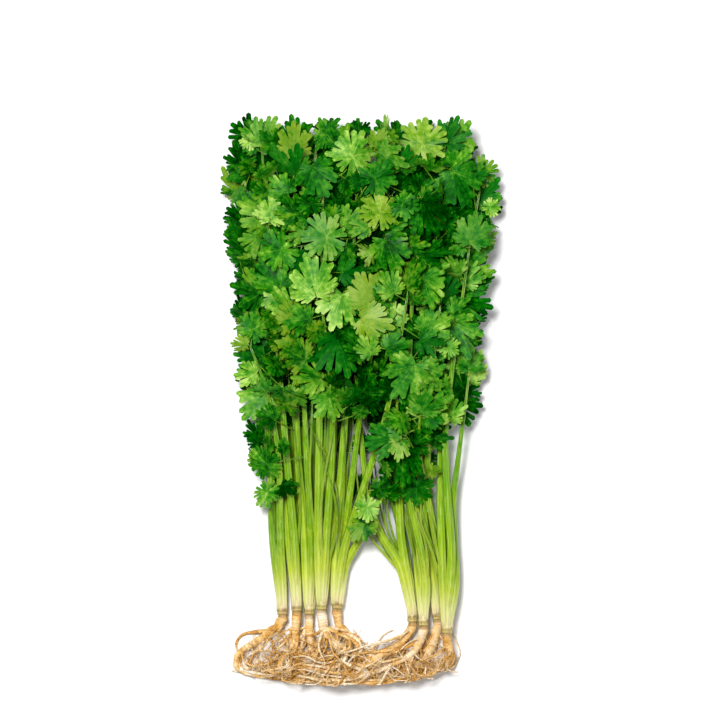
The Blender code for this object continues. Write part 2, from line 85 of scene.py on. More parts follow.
# Layers of the small leaflets that are added here: level, distance apart, how many, how far they lean
SMALL_LAYERS = ((1.0, 5.5, 120, 0.9), (0.85, 6, 120, 1.0), (0.6, 7, 90, 0.9), (0.35, 7, 60, 0.7),
                (0.06, 8, 80, 0.5))

# How far the whole bunch is moved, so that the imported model's box is centred on the origin
SEAT = (-1.4925, -0.2334, 0.0)

# Each plant: its crown (x, y, z) and its leafy stems. A stem is the point that it passes below the leaves
# and the point where it ends.
PLANTS = {
    "left_1": ((-43, -118, 6), [((-51, -12, 14), (-64, 126, 17)), ((-52, -14, 6), (-62, 66, 8)),
                                ((-47, -12, 22), (-60, 30, 26))]),
    "left_2": ((-35, -116, 10), [((-44, -8, 10), (-54, 142, 22)), ((-42, -10, 20), (-50, 96, 32)),
                                 ((-38, -12, 6), (-44, 58, 8))]),
    "left_3": ((-28, -118, 6), [((-35, -8, 16), (-36, 132, 30)), ((-31, -10, 8), (-40, 104, 12)),
                                ((-30, -12, 25), (-34, 44, 33)), ((-26, -6, 12), (-24, 144, 16))]),
    "left_4": ((-21, -115, 12), [((-22, -6, 22), (-20, 122, 36)), ((-20, -8, 10), (-22, 84, 12)),
                                 ((-15, -8, 28), (-22, 62, 37)), ((-14, -4, 16), (-6, 146, 20))]),
    "left_5": ((-12.5, -115, 6), [((-8, -8, 20), (-2, 112, 34)), ((-6, -8, 8), (0, 76, 12)),
                                ((14, -8, 31), (26, 58, 38)), ((0, -10, 26), (8, 32, 35)),
                                ((13, -50, 20), (24, -16, 24))]),
    "right_1": ((29, -122, 7), [((6, -58, 14), (-4, 34, 22)), ((14, -22, 12), (12, 98, 22)),
                                ((20, -20, 20), (14, 136, 26))]),
    "right_2": ((35, -124, 11), [((24, -20, 10), (28, 138, 14)), ((27, -20, 20), (30, 96, 35)),
                                 ((22, -22, 24), (20, 4, 33))]),
    "right_3": ((43, -121, 7), [((33, -20, 14), (46, 138, 24)), ((36, -16, 6), (42, 76, 10)),
                                ((37, -18, 23), (44, 52, 35)), ((32, -24, 26), (33, -8, 34))]),
    "right_4": ((48, -128, 13), [((44, -20, 12), (66, 116, 18)), ((47, -18, 20), (60, 84, 30)),
                                 ((45, -20, 8), (62, 40, 12)), ((51, -62, 12), (60, 14, 22))]),
}

# Where each taproot goes after it leaves its crown
TAPROOTS = {
    "left_1": [(-46, -127, 6), (-58, -133, 6), (-68, -141, 5), (-70, -150, 4), (-60, -156, 3),
               (-40, -157, 3), (-14, -156, 3)],
    "left_2": [(-36, -127, 9), (-38, -136, 10), (-44, -144, 11), (-48, -150, 9), (-40, -153, 8),
               (-24, -152, 8), (-6, -150, 9)],
    "left_3": [(-28, -128, 6), (-26, -137, 5), (-24, -145, 5), (-16, -149, 4), (-4, -150, 3),
               (8, -151, 3), (20, -152, 2)],
    "left_4": [(-20, -126, 12), (-13, -134, 12), (-8, -141, 12), (-13, -147, 13), (-26, -148, 14),
               (-40, -147, 14), (-54, -149, 12)],
    "left_5": [(-10, -126, 6), (-3, -133, 6), (3, -140, 7), (2, -145, 8), (-8, -146, 9),
               (-22, -143, 9), (-36, -140, 7)],
    "right_1": [(28, -130, 7), (19, -136, 7), (10, -141, 10), (1, -147, 12), (-10, -152, 12),
                (-24, -155, 11), (-40, -154, 10)],
    "right_2": [(34, -132, 11), (30, -138, 12), (20, -144, 13), (8, -149, 15), (-4, -153, 16),
                (-18, -154, 16), (-34, -151, 16)],
    "right_3": [(42, -129, 6), (39, -138, 5), (33, -146, 4), (22, -149, 6), (8, -154, 7),
                (-8, -156, 7), (-26, -157, 7)],
    "right_4": [(50, -138, 12), (49, -143, 9), (44, -149, 8), (33, -153, 7), (20, -154, 11),
                (6, -157, 12), (-10, -157, 12)],
}

# The leaflets that show on top: place (x, y), width and heading in degrees clockwise from +Y
TOP_LEAFLETS = [
    (11, 103, 24, 0), (-4, 134, 28, 20), (16, 133, 22, 115), (34, 141, 28, 5), (54, 145, 23, 30),
    (-18, 90, 27, -75), (-6, 96, 20, 40), (-26, 67, 27, -5), (-14, 51, 25, -140), (8, 43, 22, 110),
    (-36, 45, 22, -20), (-27, 13, 20, -80), (25, 13, 26, -150), (36, 17, 24, 100), (23, -11, 18, -10),
    (-70, 122, 26, -10), (59, 16, 28, 10), (17, 81, 23, 150), (35, 67, 30, 165), (55, 118, 26, 170),
    (73, 119, 22, 80), (3, 61, 22, -10), (-25, 125, 24, 170), (-11, 30, 30, 180), (-41, 130, 26, -60),
    (-61, 151, 26, -30), (-49, 148, 22, 20), (-37, 152, 24, 5), (12, 150, 22, 0), (-56, 104, 24, -60),
    (-64, 39, 26, -80), (-61, 19, 24, -120), (-56, -1, 26, -150), (-62, 61, 24, -90), (-18, 2, 24, 160),
    (39, -4, 26, 60), (45, -25, 22, 120), (24, -32, 26, 170), (13, -21, 20, -100), (31, -47, 20, 170),
    (-52, -34, 22, -100), (-51, -50, 17, -130), (4, -58, 16, 180), (0, -71, 14, -150), (59, 98, 24, 90),
    (64, 76, 24, 60), (63, 54, 24, 110), (54, 36, 26, 150), (-18, 149, 22, -10), (-35, 102, 22, -30),
    (-43, 83, 24, -110), (-40, 1, 22, 170), (37, 102, 24, 160), (42, 42, 22, 60), (-48, 69, 24, -40),
]

# How light the first of them are, from 0 to 1, and how yellow or blue, where that stands out
FRONT_TONES = [0.8, 0.74, 0.68, 0.8, 0.68, 0.76, 0.6, 0.76, 0.78, 0.78, 0.6, 0.6, 0.58, 0.55, 0.5, 0.6, 0.84,
               0.4, 0.55, 0.33, 0.4, 0.76, 0.33, 0.28]
FRONT_HUES = {0: 0.85, 3: 0.8, 9: 0.9, 21: 0.95, 2: 0.12, 4: 0.15, 20: 0.05, 19: 0.2, 22: 0.2, 23: 0.1}

# Leaflets that lie flat on the table and carry the bunch: place, width and heading
RESTING_LEAFLETS = [(0, 52, 26, 10), (-50, 118, 24, -30), (50, 116, 24, 40), (-48, 12, 24, -80),
                    (48, 10, 24, 80)]

# Outline of the leafy head: y, left edge, right edge
HEAD = [(-60, -56, 46), (-35, -62, 50), (-16, -64, 53), (0, -67, 66), (28, -70, 69), (55, -71, 72),
        (83, -74, 74), (116, -76, 79), (149, -79, 72), (160, -74, 64)]

# Outline of a plain leaflet from its hub: angle from the tip in degrees, reach as a share of the width
LEAFLET = [(0, 0.57), (20, 0.55), (39, 0.31), (58, 0.53), (86, 0.51), (118, 0.46), (170, 0.36)]
print("plants:", len(PLANTS), "thick stems:", sum(len(stems) for _, stems in PLANTS.values()))

# %% [markdown]
# ## Smooth lines that lie side by side
# A stem or a root is a line with a thickness. The line is a spline, so that it bends softly. Where two
# stems would run through each other they are pushed apart a little, over and over, until each has room,
# which is what real stems do when a bunch is pressed flat. That is simpler than a physics simulation and
# gives the same result on every run.

# %% Lines and how they settle
CLOSE_ENOUGH = 0.02


def between(rows, y):
    """Edges of the leafy head at a height y."""
    return [float(np.interp(y, [r[0] for r in rows], [r[k] for r in rows])) for k in (1, 2)]


def head_depth(x, y):
    """Lowest and highest level of the leafy head over a place."""
    left, right = between(HEAD, y)
    off = abs(2 * (x - left) / (right - left) - 1)
    full = max(0.0, 1 - off ** 3)
    end = min(1.0, max(0.0, (168 - y) / 40)) * min(1.0, max(0.4, (y + 95) / 80))
    return 1.0 + 9 * off ** 3, 13 + 31 * full * end


def unit(v):
    """A direction, one unit long."""
    return v / max(np.linalg.norm(v), 1e-9)


def spline(points, count):
    """Points evenly spaced along a smooth line through the given ones."""
    p = np.array(points, float)
    p = np.vstack([2 * p[0] - p[1], p, 2 * p[-1] - p[-2]])
    out = []
    for i in range(1, len(p) - 2):
        for t in np.linspace(0, 1, 16, endpoint=False):
            a, b, c, d = p[i - 1:i + 3]
            out.append(0.5 * (2 * b + (c - a) * t + (2 * a - 5 * b + 4 * c - d) * t * t
                              + (3 * b - a - 3 * c + d) * t ** 3))
    out.append(p[-2])
    out = np.array(out)
    run = np.concatenate([[0], np.cumsum(np.linalg.norm(np.diff(out, axis=0), axis=1))])
    evenly = np.linspace(0, run[-1], count)
    return np.array([[np.interp(s, run, out[:, k]) for k in range(3)] for s in evenly])


def widths(radii, count):
    """The radii of a line, read evenly at more points."""
    return np.interp(np.linspace(0, len(radii) - 1, count), np.arange(len(radii)), radii)


def closest(p1, q1, p2, q2):
    """Where two straight pieces come closest, as shares of their lengths."""
    d1, d2, r = q1 - p1, q2 - p2, p1 - p2
    a, e, f = (d1 * d1).sum(1), (d2 * d2).sum(1), (d2 * r).sum(1)
    b, c = (d1 * d2).sum(1), (d1 * r).sum(1)
    den = a * e - b * b
    s = np.clip(np.where(den > 1e-6, (b * f - c * e) / np.maximum(den, 1e-6), 0.5), 0, 1)
    t = (b * s + f) / e
    s = np.where(t < 0, np.clip(-c / a, 0, 1), np.where(t > 1, np.clip((b - c) / a, 0, 1), s))
    return s, np.clip(t, 0, 1)


def settle(lines, rounds):
    """Push lines apart until they lie side by side, and return the overlap that is left. A line keeps its
    fixed points, and its joined pieces may touch the other lines of its plant."""
    points = np.vstack([line["points"] for line in lines])
    radii = np.concatenate([line["radii"] for line in lines])
    free = np.concatenate([(np.arange(len(line["points"])) >= line["fixed"]) * 1.0 for line in lines])
    start, owner, first = [], [], []
    base = 0
    for k, line in enumerate(lines):
        for i in range(len(line["points"]) - 1):
            start.append(base + i)
            owner.append(k)
            first.append(i < line["joined"])
        base += len(line["points"])
    start, owner, first = np.array(start), np.array(owner), np.array(first)
    group = np.array([line["plant"] for line in lines])[owner]
    i, j = np.triu_indices(len(start), 1)
    keep = (owner[i] != owner[j]) & ~((group[i] == group[j]) & (first[i] | first[j]))
    keep &= free[start[i]] + free[start[i] + 1] + free[start[j]] + free[start[j] + 1] > 0
    i, j = i[keep], j[keep]
    a, b, c, d = start[i], start[i] + 1, start[j], start[j] + 1
    home = points.copy()
    worst = 0.0
    for turn in range(rounds):
        s, t = closest(points[a], points[b], points[c], points[d])
        gap = (points[a] * (1 - s)[:, None] + points[b] * s[:, None]
               - points[c] * (1 - t)[:, None] - points[d] * t[:, None])
        far = np.linalg.norm(gap, axis=1)
        need = radii[a] * (1 - s) + radii[b] * s + radii[c] * (1 - t) + radii[d] * t + CLEAR
        push = np.maximum(need - far, 0)
        worst = float(push.max())
        if worst < CLOSE_ENOUGH:
            break
        way = gap / np.maximum(far, 1e-6)[:, None] + (far < 1e-3)[:, None] * np.array([0, 0, 1.0])
        move = np.zeros_like(points)
        for index, share in ((a, 1 - s), (b, s)):
            np.add.at(move, index, way * (push * share * 0.45)[:, None])
        for index, share in ((c, 1 - t), (d, t)):
            np.add.at(move, index, -way * (push * share * 0.45)[:, None])
        size = np.linalg.norm(move, axis=1)
        move *= np.minimum(1, 1.2 / np.maximum(size, 1e-9))[:, None]
        points += move * free[:, None]
        if turn < rounds * 0.7:
            points += (home - points) * 0.01 * free[:, None]
        points[:, 2] = np.maximum(points[:, 2], radii * free)
        points[:, 1] = np.maximum(points[:, 1], radii + ROOT_END)
    at = 0
    for k, line in enumerate(lines):
        line["points"] = points[at:at + len(line["points"])]
        at += len(line["points"])
        line["tight"] = max(push[(owner[i] == k) | (owner[j] == k)], default=0)
    return worst

# %% [markdown]
# ## Where the leaflets are
# A coriander leaflet is a lobed blade on a short stalk. To ask whether a place is free, the finished
# toothed blade could be tested, but hundreds of tests are quicker with a plain one. So here a leaflet is a
# thick plain blade with a stalk, a stem is a tube, and a search tree of each body's faces tells which
# bodies overlap.

# %% A plain blade and the test for free space
def tube(points, radii, sides, turn=0.0):
    """A closed round body along a line."""
    p = np.array(points, float)
    way = np.gradient(p, axis=0)
    way[0] = p[1] - p[0]
    way[-1] = p[-1] - p[-2]
    across = unit(np.cross(way[0], (0.31, 0.17, 1.0)))
    verts, faces = [], []
    for k in range(len(p)):
        along = unit(way[k])
        across = unit(across - along * across.dot(along))
        other = np.cross(along, across)
        for n in range(sides):
            angle = turn + 2 * math.pi * n / sides
            verts.append(p[k] + radii[k] * (math.cos(angle) * across + math.sin(angle) * other))
    for k in range(len(p) - 1):
        for n in range(sides):
            m = (n + 1) % sides
            faces.append((k * sides + n, k * sides + m, (k + 1) * sides + m, (k + 1) * sides + n))
    faces.append(tuple(range(sides - 1, -1, -1)))
    faces.append(tuple((len(p) - 1) * sides + n for n in range(sides)))
    return np.array(verts), faces


def leaflet(hub, tip_way, face_way, width, root, bend, grow=0.0):
    """One lobed blade with its stalk down to a root point, as a closed body. grow thickens it for tests."""
    v = unit(tip_way)
    w = unit(face_way - v * face_way.dot(v))
    u = np.cross(v, w)
    ring = LEAFLET[:0:-1] + [(-a, r) for a, r in LEAFLET]
    half = BLADE / 2 + grow
    flat = []
    for angle, reach in ring:
        r = reach * width + grow
        angle = math.radians(-angle)
        side, ahead = r * math.sin(angle), r * math.cos(angle)
        lift = bend[0] * reach * reach * width + bend[1] * side * side / width
        lift -= bend[2] * max(ahead, 0) ** 2 / width
        flat.append(hub + u * side + v * ahead + w * lift)
    n = len(flat)
    verts = [hub + w * half, hub - w * half]
    verts += [p + w * half for p in flat]
    verts += [p - w * half for p in flat]
    faces = []
    for k in range(n):
        m = (k + 1) % n
        faces.append((0, 2 + m, 2 + k))
        faces.append((1, 2 + n + k, 2 + n + m))
        if k < n - 1:
            faces.append((2 + k, 2 + m, 2 + n + m, 2 + n + k))
    middle = (flat[0] + flat[-1]) / 2
    way = unit(root - middle)
    side = unit(u - way * u.dot(way))
    thick = np.cross(side, way)
    thick *= math.copysign(1, thick.dot(w))
    stalk = 0.5 + grow
    ends = [root + side * stalk * e + thick * half * f for e, f in ((1, 1), (-1, 1), (-1, -1), (1, -1))]
    low = [2, 2 + n - 1, 2 + 2 * n - 1, 2 + n]
    if (verts[2] - verts[2 + n - 1]).dot(side) < 0:
        ends = [ends[1], ends[0], ends[3], ends[2]]
    at = len(verts)
    verts += ends
    for k in range(4):
        m = (k + 1) % 4
        faces.append((low[k], low[m], at + m, at + k))
    faces.append((at, at + 1, at + 2, at + 3))
    return np.array(verts), faces


def tree(body):
    """A search tree of a body's faces."""
    return BVHTree.FromPolygons([tuple(map(float, p)) for p in body[0]], body[1])


class Space:
    """The bodies placed so far, each with its box, so that only near ones are tested."""

    def __init__(self):
        self.items = []
        self.low = np.zeros((0, 3))
        self.high = np.zeros((0, 3))

    def move(self, place, body):
        """Put another body in the place of one."""
        self.items[place] = (tree(body), self.items[place][1])
        self.low[place], self.high[place] = body[0].min(0), body[0].max(0)

    def add(self, body, tag):
        """One more body. Its tag says what it is and whose."""
        self.items.append((tree(body), tag))
        self.low = np.vstack([self.low, body[0].min(0)])
        self.high = np.vstack([self.high, body[0].max(0)])

    def clear(self, body, skip=(), only=None):
        """Whether a body meets none of them, leaving out some tags or asking only about one."""
        low, high = body[0].min(0), body[0].max(0)
        near = np.nonzero(((self.low <= high) & (self.high >= low)).all(1))[0]
        own = None
        for k in near:
            shape, tag = self.items[k]
            if tag in skip or (only and tag != only):
                continue
            own = own or tree(body)
            if own.overlap(shape):
                return False
        return True

# %% [markdown]
# ## Stems and roots laid out
# Each stem starts in its crown, passes a point below the leaves and ends inside the head. Each taproot
# leaves the other end of the crown, bends over and sends out strands. All could be drawn by hand as curves.
# Here only a few points of each are given, and settling finds the room: first for the stems, then for the
# taproots, then for the strands, each time with the earlier lines held still. A strand that finds no room
# is left out.

# %% Lay out the stems
HELD = 99
STEM_ROUNDS, ROOT_ROUNDS = 400, 300


def line_of(kind, plant, points, radii, fixed, joined):
    """A line to settle. Its first points are fixed, and its first pieces may touch its own plant."""
    return {"kind": kind, "plant": plant, "points": np.array(points, float), "radii": np.array(radii, float),
            "fixed": fixed, "joined": joined}


def lay_stems():
    """The crowns and their thick stems, which fan out a little where they leave the crown."""
    lines = []
    for index, (crown, stems) in enumerate(PLANTS.values()):
        crown = np.array(crown, float)
        up = crown + (0, CROWN_LENGTH, 0)
        lines.append(line_of("crown", index, [crown, up], [CROWN_RADIUS] * 2, 2, 1))
        for k, (passing, tip) in enumerate(stems):
            spread = (k - (len(stems) - 1) / 2) * 0.9
            out = crown + (spread, CROWN_LENGTH * 0.55, 0.7 * (-1) ** k)
            near = out + (spread * 1.2, 16, 0)
            path = spline([out, near, passing, tip], len(STEM_RADII))
            lines.append(line_of("stem", index, path, STEM_RADII, 1, 1))
    print("overlap left between stems, in mm:", round(settle(lines, STEM_ROUNDS), 3))
    return lines


names = list(PLANTS)
lines = lay_stems()
crowns = [line for line in lines if line["kind"] == "crown"]

# %% Lay out the roots
ROOT_SLACK = 0.25


def lay_strands(line, rng):
    """Crooked strands that leave a taproot at its joints."""
    strands = []
    for k in range(STRANDS):
        joint = 1 + k % 6
        path = [line["points"][joint]]
        along = unit(line["points"][joint + 1] - line["points"][joint - 1])
        way = unit(along + [rng.uniform(-1, 1), rng.uniform(-0.9, 0.3), rng.uniform(-0.5, 0.7)])
        for _ in STRAND_RADII[1:]:
            way = unit(way + [rng.uniform(-0.6, 0.6), rng.uniform(-0.5, 0.3), rng.uniform(-0.4, 0.4)])
            path.append(np.clip(path[-1] + way * rng.uniform(6, 10), *ROOT_ROOM))
        strands.append(line_of("strand", line["plant"], path, STRAND_RADII, 1, 2))
    return strands


def lay_roots():
    """The taproots and their strands, settled below the crowns."""
    roots = [dict(line, fixed=HELD, joined=HELD) for line in crowns]
    for index, name in enumerate(names):
        top = np.array(PLANTS[name][0], float) - (0, 0.35, 0)
        path = spline([top - (0, 2.5, 0)] + TAPROOTS[name], len(TAPROOT_RADII) - 1)
        roots.append(line_of("taproot", index, np.vstack([top, path]), TAPROOT_RADII, 2, 2))
    settle(roots, ROOT_ROUNDS)
    rng = random.Random(SEED)
    for line in [root for root in roots if root["kind"] == "taproot"]:
        line["fixed"] = HELD
        roots += lay_strands(line, rng)
    slack = settle(roots, ROOT_ROUNDS)
    while slack > ROOT_SLACK:
        worst = max((root for root in roots if root["kind"] == "strand"), key=lambda line: line["tight"])
        roots = [line for line in roots if line is not worst]
        slack = settle(roots, 60)
    print("overlap left between roots, in mm:", round(slack, 3))
    return [root for root in roots if root["kind"] != "crown"]


roots = lay_roots()
print("taproots and strands:", len(roots))

# %% [markdown]
# ## Thin stems between the thick ones
# Slim young stems run between the thick ones of each plant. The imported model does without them. Each could be
# drawn by hand, but it is enough that each follows a thick stem of its plant at a small random distance. They
# settle round the thick stems, which stay where they are, and a stem that finds no room is left out.

# %% Thin stems
THIN_POINTS = 8
THIN_TIP = 0.55
THIN_SLACK = 0.35


def lay_thin_stems():
    """Slim stems that bend round the thick ones."""
    rng = random.Random(SEED + 3)
    thin = []
    for index, name in enumerate(names):
        own = [line for line in lines if line["plant"] == index and line["kind"] == "stem"]
        for _ in range(THIN_STEMS):
            guide = rng.choice(own)["points"]
            out = (rng.uniform(-1.6, 1.6), CROWN_LENGTH * 0.5, rng.uniform(-1.2, 1.2))
            out = np.array(PLANTS[name][0]) + out
            near = out + (rng.uniform(-1, 1), 14, rng.uniform(-1, 1))
            passing = guide[2] + [rng.uniform(-7, 7), rng.uniform(-8, 8), rng.uniform(-5, 6)]
            tip = guide[4] + [rng.uniform(-14, 14), rng.uniform(-20, 20), rng.uniform(-8, 8)]
            for spot in (passing, tip):
                left, right = between(HEAD, spot[1])
                spot[0] = min(max(spot[0], left + 9), right - 13)
            radii = np.linspace(rng.uniform(0.85, 1.35), THIN_TIP, THIN_POINTS)
            path = spline([out, near, passing, tip], THIN_POINTS)
            thin.append(line_of("thin", index, path, radii, 1, 2))
    settle([dict(line, fixed=HELD) for line in lines] + thin, 160)
    return [line for line in thin if line["tight"] < THIN_SLACK]


thin = lay_thin_stems()
print("thin stems:", len(thin))

# %% [markdown]
# ## Room for every leaflet
# Each leaflet hangs on a stalk that starts somewhere on a stem. Several hundred leaflets could be scattered
# by a particle system, but they would cut through each other. So each one is tried at its wished-for place,
# then a little further off each time, and is kept only when its blade is clear of everything laid before
# it. A grid of cells over the head counts how many blades cover each place, and a stem's load is how many
# leaflets it has.

# %% Places on the stems where a stalk can start
LOWEST_STALK = -62
CELL = 3.0
rng = random.Random(SEED + 1)
space = Space()
for line in lines:
    for k in range(len(line["points"]) - 1):
        piece = tube(line["points"][k:k + 2], line["radii"][k:k + 2], STEM_SIDES)
        space.add(piece, ("stem", id(line)))
thick_tags = [("stem", id(line)) for line in lines]
stems = [line for line in lines if line["kind"] == "stem"]
spots, owners = [], []
for number, line in enumerate(stems):
    for spot in spline(line["points"], 60)[25:59]:
        if spot[1] > LOWEST_STALK:
            spots.append(spot)
            owners.append(number)
spots, owners = np.array(spots), np.array(owners)
load = np.zeros(len(stems))
cells = np.array([(x, y) for x in np.arange(-78, 79, CELL) for y in np.arange(-10, 158, CELL)])
cover = np.zeros(len(cells))
print("places for stalks:", len(spots), "cells of the head:", len(cells))

# %% Try one leaflet
COVERED = 0.42
placed, homes = [], []


def near_cells(x, y, reach):
    """Which cells of the head are nearer to a place than the reach."""
    return np.hypot(cells[:, 0] - x, cells[:, 1] - y) < reach


def attempt(shape, owner, room=CLEAR / 2, snug=1.0, parent=None):
    """Keep a leaflet if it stays in the head and meets nothing. room and snug say how close it may come."""
    hub, tip, face, width, root, bend = shape
    points = leaflet(*shape)[0]
    low, high = points.min(0), points.max(0)
    left, right = between(HEAD, hub[1])
    if low[2] < -0.001 or high[2] > THICKEST or high[1] > HEAD_END:
        return False
    if low[0] < left - HEAD_EDGE or high[0] > right + HEAD_EDGE:
        return False
    own_stem = ("stem", id(stems[owner]))
    body = leaflet(hub, tip, face, width * snug, root, bend, grow=room)
    if not space.clear(body, skip=(own_stem, ("leaf", parent))):
        return False
    # A stalk grows out of its own stem or its parent's stalk, so only the blade has to stay clear of those
    blade = (body[0][:-4], body[1][:-5])
    if not space.clear(blade, only=own_stem):
        return False
    if parent is not None and not space.clear(blade, only=("leaf", parent)):
        return False
    space.add(leaflet(hub, tip, face, width * snug, root, bend, grow=room / 2), ("leaf", len(placed)))
    homes.append(len(space.items) - 1)
    load[owner] += 1
    cover[near_cells(hub[0], hub[1], COVERED * width)] += 1
    placed.append((owner, shape))
    return True


# %% Look for a clear place
BASE_SHARE = 0.36
STRAY = 7


def way_from_stem(hub, tilt):
    """The way a leaflet points when it grows away from a near stem with a small load, or None."""
    gap = np.linalg.norm(spots - hub, axis=1)
    near = np.nonzero((gap > 9) & (gap < 30))[0]
    if not len(near):
        return None
    cost = gap[near] + 1.2 * load[owners[near]] + 0.7 * np.maximum(spots[near, 1] - hub[1], 0)
    pick = near[np.argsort(cost)[min(int(rng.random() ** 2 * 24), len(near) - 1)]]
    tip = unit(hub - spots[pick])
    tip[2] = min(max(tip[2], -0.5), 0.5)
    turn = math.radians(rng.uniform(-35, 35))
    return np.array([tip[0] * math.cos(turn) - tip[1] * math.sin(turn),
                     tip[0] * math.sin(turn) + tip[1] * math.cos(turn), tip[2] + tilt * 0.4])


def stalk_starts(base, tip):
    """A few places on stems behind a leaflet's base that its stalk could start from."""
    back = spots - base
    far = np.linalg.norm(back, axis=1)
    lined = -(back @ tip) / np.maximum(far, 1e-6)
    fit = np.nonzero((far > 3.5) & (far < 26) & (lined > 0.55))[0]
    cost = far[fit] + 8 * (1 - lined[fit]) + load[owners[fit]]
    order = fit[np.argsort(cost)]
    return order[:1 + len(order) // 6:3][:4]


def seek(x, y, level, width, heading=None, flat=False, tries=90, lean=0.3, room=CLEAR / 2, snug=1.0):
    """Lay a leaflet at a clear place near the wished one. Each try strays a little further."""
    low, high = head_depth(x, y)
    for n in range(tries):
        loose = n / tries
        hub = np.array([x + rng.uniform(-1, 1) * STRAY * loose, y + rng.uniform(-1, 1) * STRAY * loose,
                        low + (high - low) * level - 2 - rng.uniform(0, 1) * 9 * loose])
        if level < 0.3:
            hub[2] = low + 1.5 + rng.uniform(0, 1) * 8 * loose
        tilt = rng.uniform(-lean, lean)
        face = np.array([rng.uniform(-lean, lean), rng.uniform(-lean, lean), 1.0 if level > 0.25 else -1.0])
        size = width * (1 - 0.15 * loose)
        if flat:
            hub[2], tilt, face = BLADE / 2, 0.0, np.array([0, 0, 1.0])
        if heading is None:
            tip = way_from_stem(hub, tilt)
        else:
            angle = math.radians(heading + rng.uniform(-1, 1) * (8 + 60 * loose))
            tip = np.array([math.sin(angle), math.cos(angle), tilt])
        if tip is None:
            continue
        tip = unit(tip)
        starts = stalk_starts(hub - tip * BASE_SHARE * size, tip)
        if not len(starts):
            continue
        bend = (rng.uniform(-0.25, 0.25), rng.uniform(-0.35, 0.1), rng.uniform(-0.1, 0.3))
        if flat:
            bend = (0.0, 0.0, 0.0)
        for pick in starts:
            if attempt((hub, tip, face, size, spots[pick], bend), owners[pick], room, snug):
                return True
    return False


# %% [markdown]
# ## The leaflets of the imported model, found again
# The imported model's leaflets could be measured on its meshes, but a rule is easier to read: the same steps
# and the same random draws give the same leaflets again, so that the fine ones lie where its plain ones do.
# The resting leaflets come first, then those that show on top, then one at the end of each stem, and then
# the layers inside the head, always where it is barest.

# %% Resting leaflets, top leaflets and the ends of the stems
END_TRIES = 40
missed = []
for x, y, width, heading in RESTING_LEAFLETS:
    if not seek(x, y, 0, width, heading, flat=True):
        missed.append(("resting", x, y))
for x, y, width, heading in TOP_LEAFLETS:
    if not seek(x, y, 1.0, width, heading):
        missed.append(("top", x, y))
for number, line in enumerate(stems):
    tip = line["points"][-1]
    way = unit(line["points"][-1] - line["points"][-2])
    for n in range(END_TRIES):
        ahead = unit(way + [rng.uniform(-0.6, 0.6), rng.uniform(-0.3, 0.3), rng.uniform(-0.5, 0.5)])
        size = rng.uniform(17, 23) * (1 - 0.3 * n / END_TRIES)
        face = np.array([rng.uniform(-0.6, 0.6), rng.uniform(-0.6, 0.6), 1.0])
        hub = tip + ahead * (BASE_SHARE * size + 3)
        if attempt((hub, ahead, face, size, tip - way * 0.8, (0.1, -0.1, 0.1)), number):
            break
    else:
        missed.append(("end of a stem", round(tip[0]), round(tip[1])))
print("leaflets laid:", len(placed), "without room:", missed)

# %% Layers inside the head
NOWHERE = 99


def to_nearest(x, y, taken):
    """How far the nearest taken place is."""
    return min([math.hypot(x - a, y - b) for a, b in taken] + [NOWHERE])


def barest_place(taken, apart):
    """The least covered of a few random places, none of them too near to one that is taken."""
    best = None
    for _ in range(14):
        y = rng.uniform(-6, 151)
        left, right = between(HEAD, y)
        x = rng.uniform(left + 8, right - 8)
        if to_nearest(x, y, taken) < apart:
            continue
        seen = cover[near_cells(x, y, 10)]
        score = (seen == 0).sum() + 0.25 * (seen == 1).sum() + rng.random()
        if best is None or score > best[0]:
            best = (score, x, y)
    return best and best[1:]


for level, apart, wanted in LAYERS:
    taken, count = [], 0
    if level > 0.9:
        taken = [(x, y) for x, y, _, _ in TOP_LEAFLETS]
    if level < 0.2:
        taken = [(x, y) for x, y, _, _ in RESTING_LEAFLETS]
    for _ in range(70):
        place = barest_place(taken, apart)
        if place is None or count >= wanted:
            break
        if seek(*place, level, rng.uniform(19, 25), tries=14, lean=0.45):
            taken.append(place)
            count += 1
plain_count = len(placed)
print("leaflets of the packed model:", plain_count)

# %% [markdown]
# ## Turned leaflets and thin stems
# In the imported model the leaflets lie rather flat. Real ones tilt and curl. A simulation could settle them,
# but it is simpler to turn and bend each one at random a few times and to keep the first turn for which its
# neighbours leave room. The thin stems then stop short of the first leaflet that they meet, and offer new
# places for stalks.

# %% Tilt and bend the leaflets, and shorten the thin stems
TURNED_WIDTH = 0.92
THIN_RUN = 24
turned = 0
for number, (owner, (hub, tip, face, width, root, bend)) in enumerate(placed):
    for n in range(0 if hub[2] < 3 else 6):
        way = unit(face) + [rng.gauss(0, 0.4), rng.gauss(0, 0.4), 0]
        ahead = unit(tip + [0, 0, rng.gauss(0, 0.32)])
        more = (bend[0] + rng.uniform(-0.1, 0.2), bend[1] - rng.uniform(0, 0.5),
                bend[2] + rng.uniform(0, 0.4))
        body = leaflet(hub, ahead, way, width * TURNED_WIDTH, root, more)
        if body[0][:, 2].min() < 0.3 or body[0][:, 2].max() > THICKEST + 1:
            continue
        if space.clear(body, skip=(("stem", id(stems[owner])), ("leaf", number))):
            placed[number] = (owner, (hub, ahead, way, width, root, more))
            space.move(homes[number], body)
            turned += 1
            break
for line in thin:
    run, radii = spline(line["points"], THIN_RUN), widths(line["radii"], THIN_RUN)
    end = 6
    while end < 23 and space.clear(tube(run[end:end + 2], radii[end:end + 2] + 0.1, 5), skip=thick_tags):
        end += 1
    line["points"], line["radii"] = run[:end + 1], radii[:end + 1] * np.linspace(1, 0.45, end + 1)
    stems.append(line)
    space.add(tube(run[:end + 1:2], radii[:end + 1:2], 5), ("stem", id(line)))
    spots = np.vstack([spots, run[10:end + 1]])
    owners = np.concatenate([owners, np.full(max(0, end - 9), len(stems) - 1)])
load = np.concatenate([load, np.zeros(len(thin))])
print("leaflets turned:", turned, "stems:", len(stems))

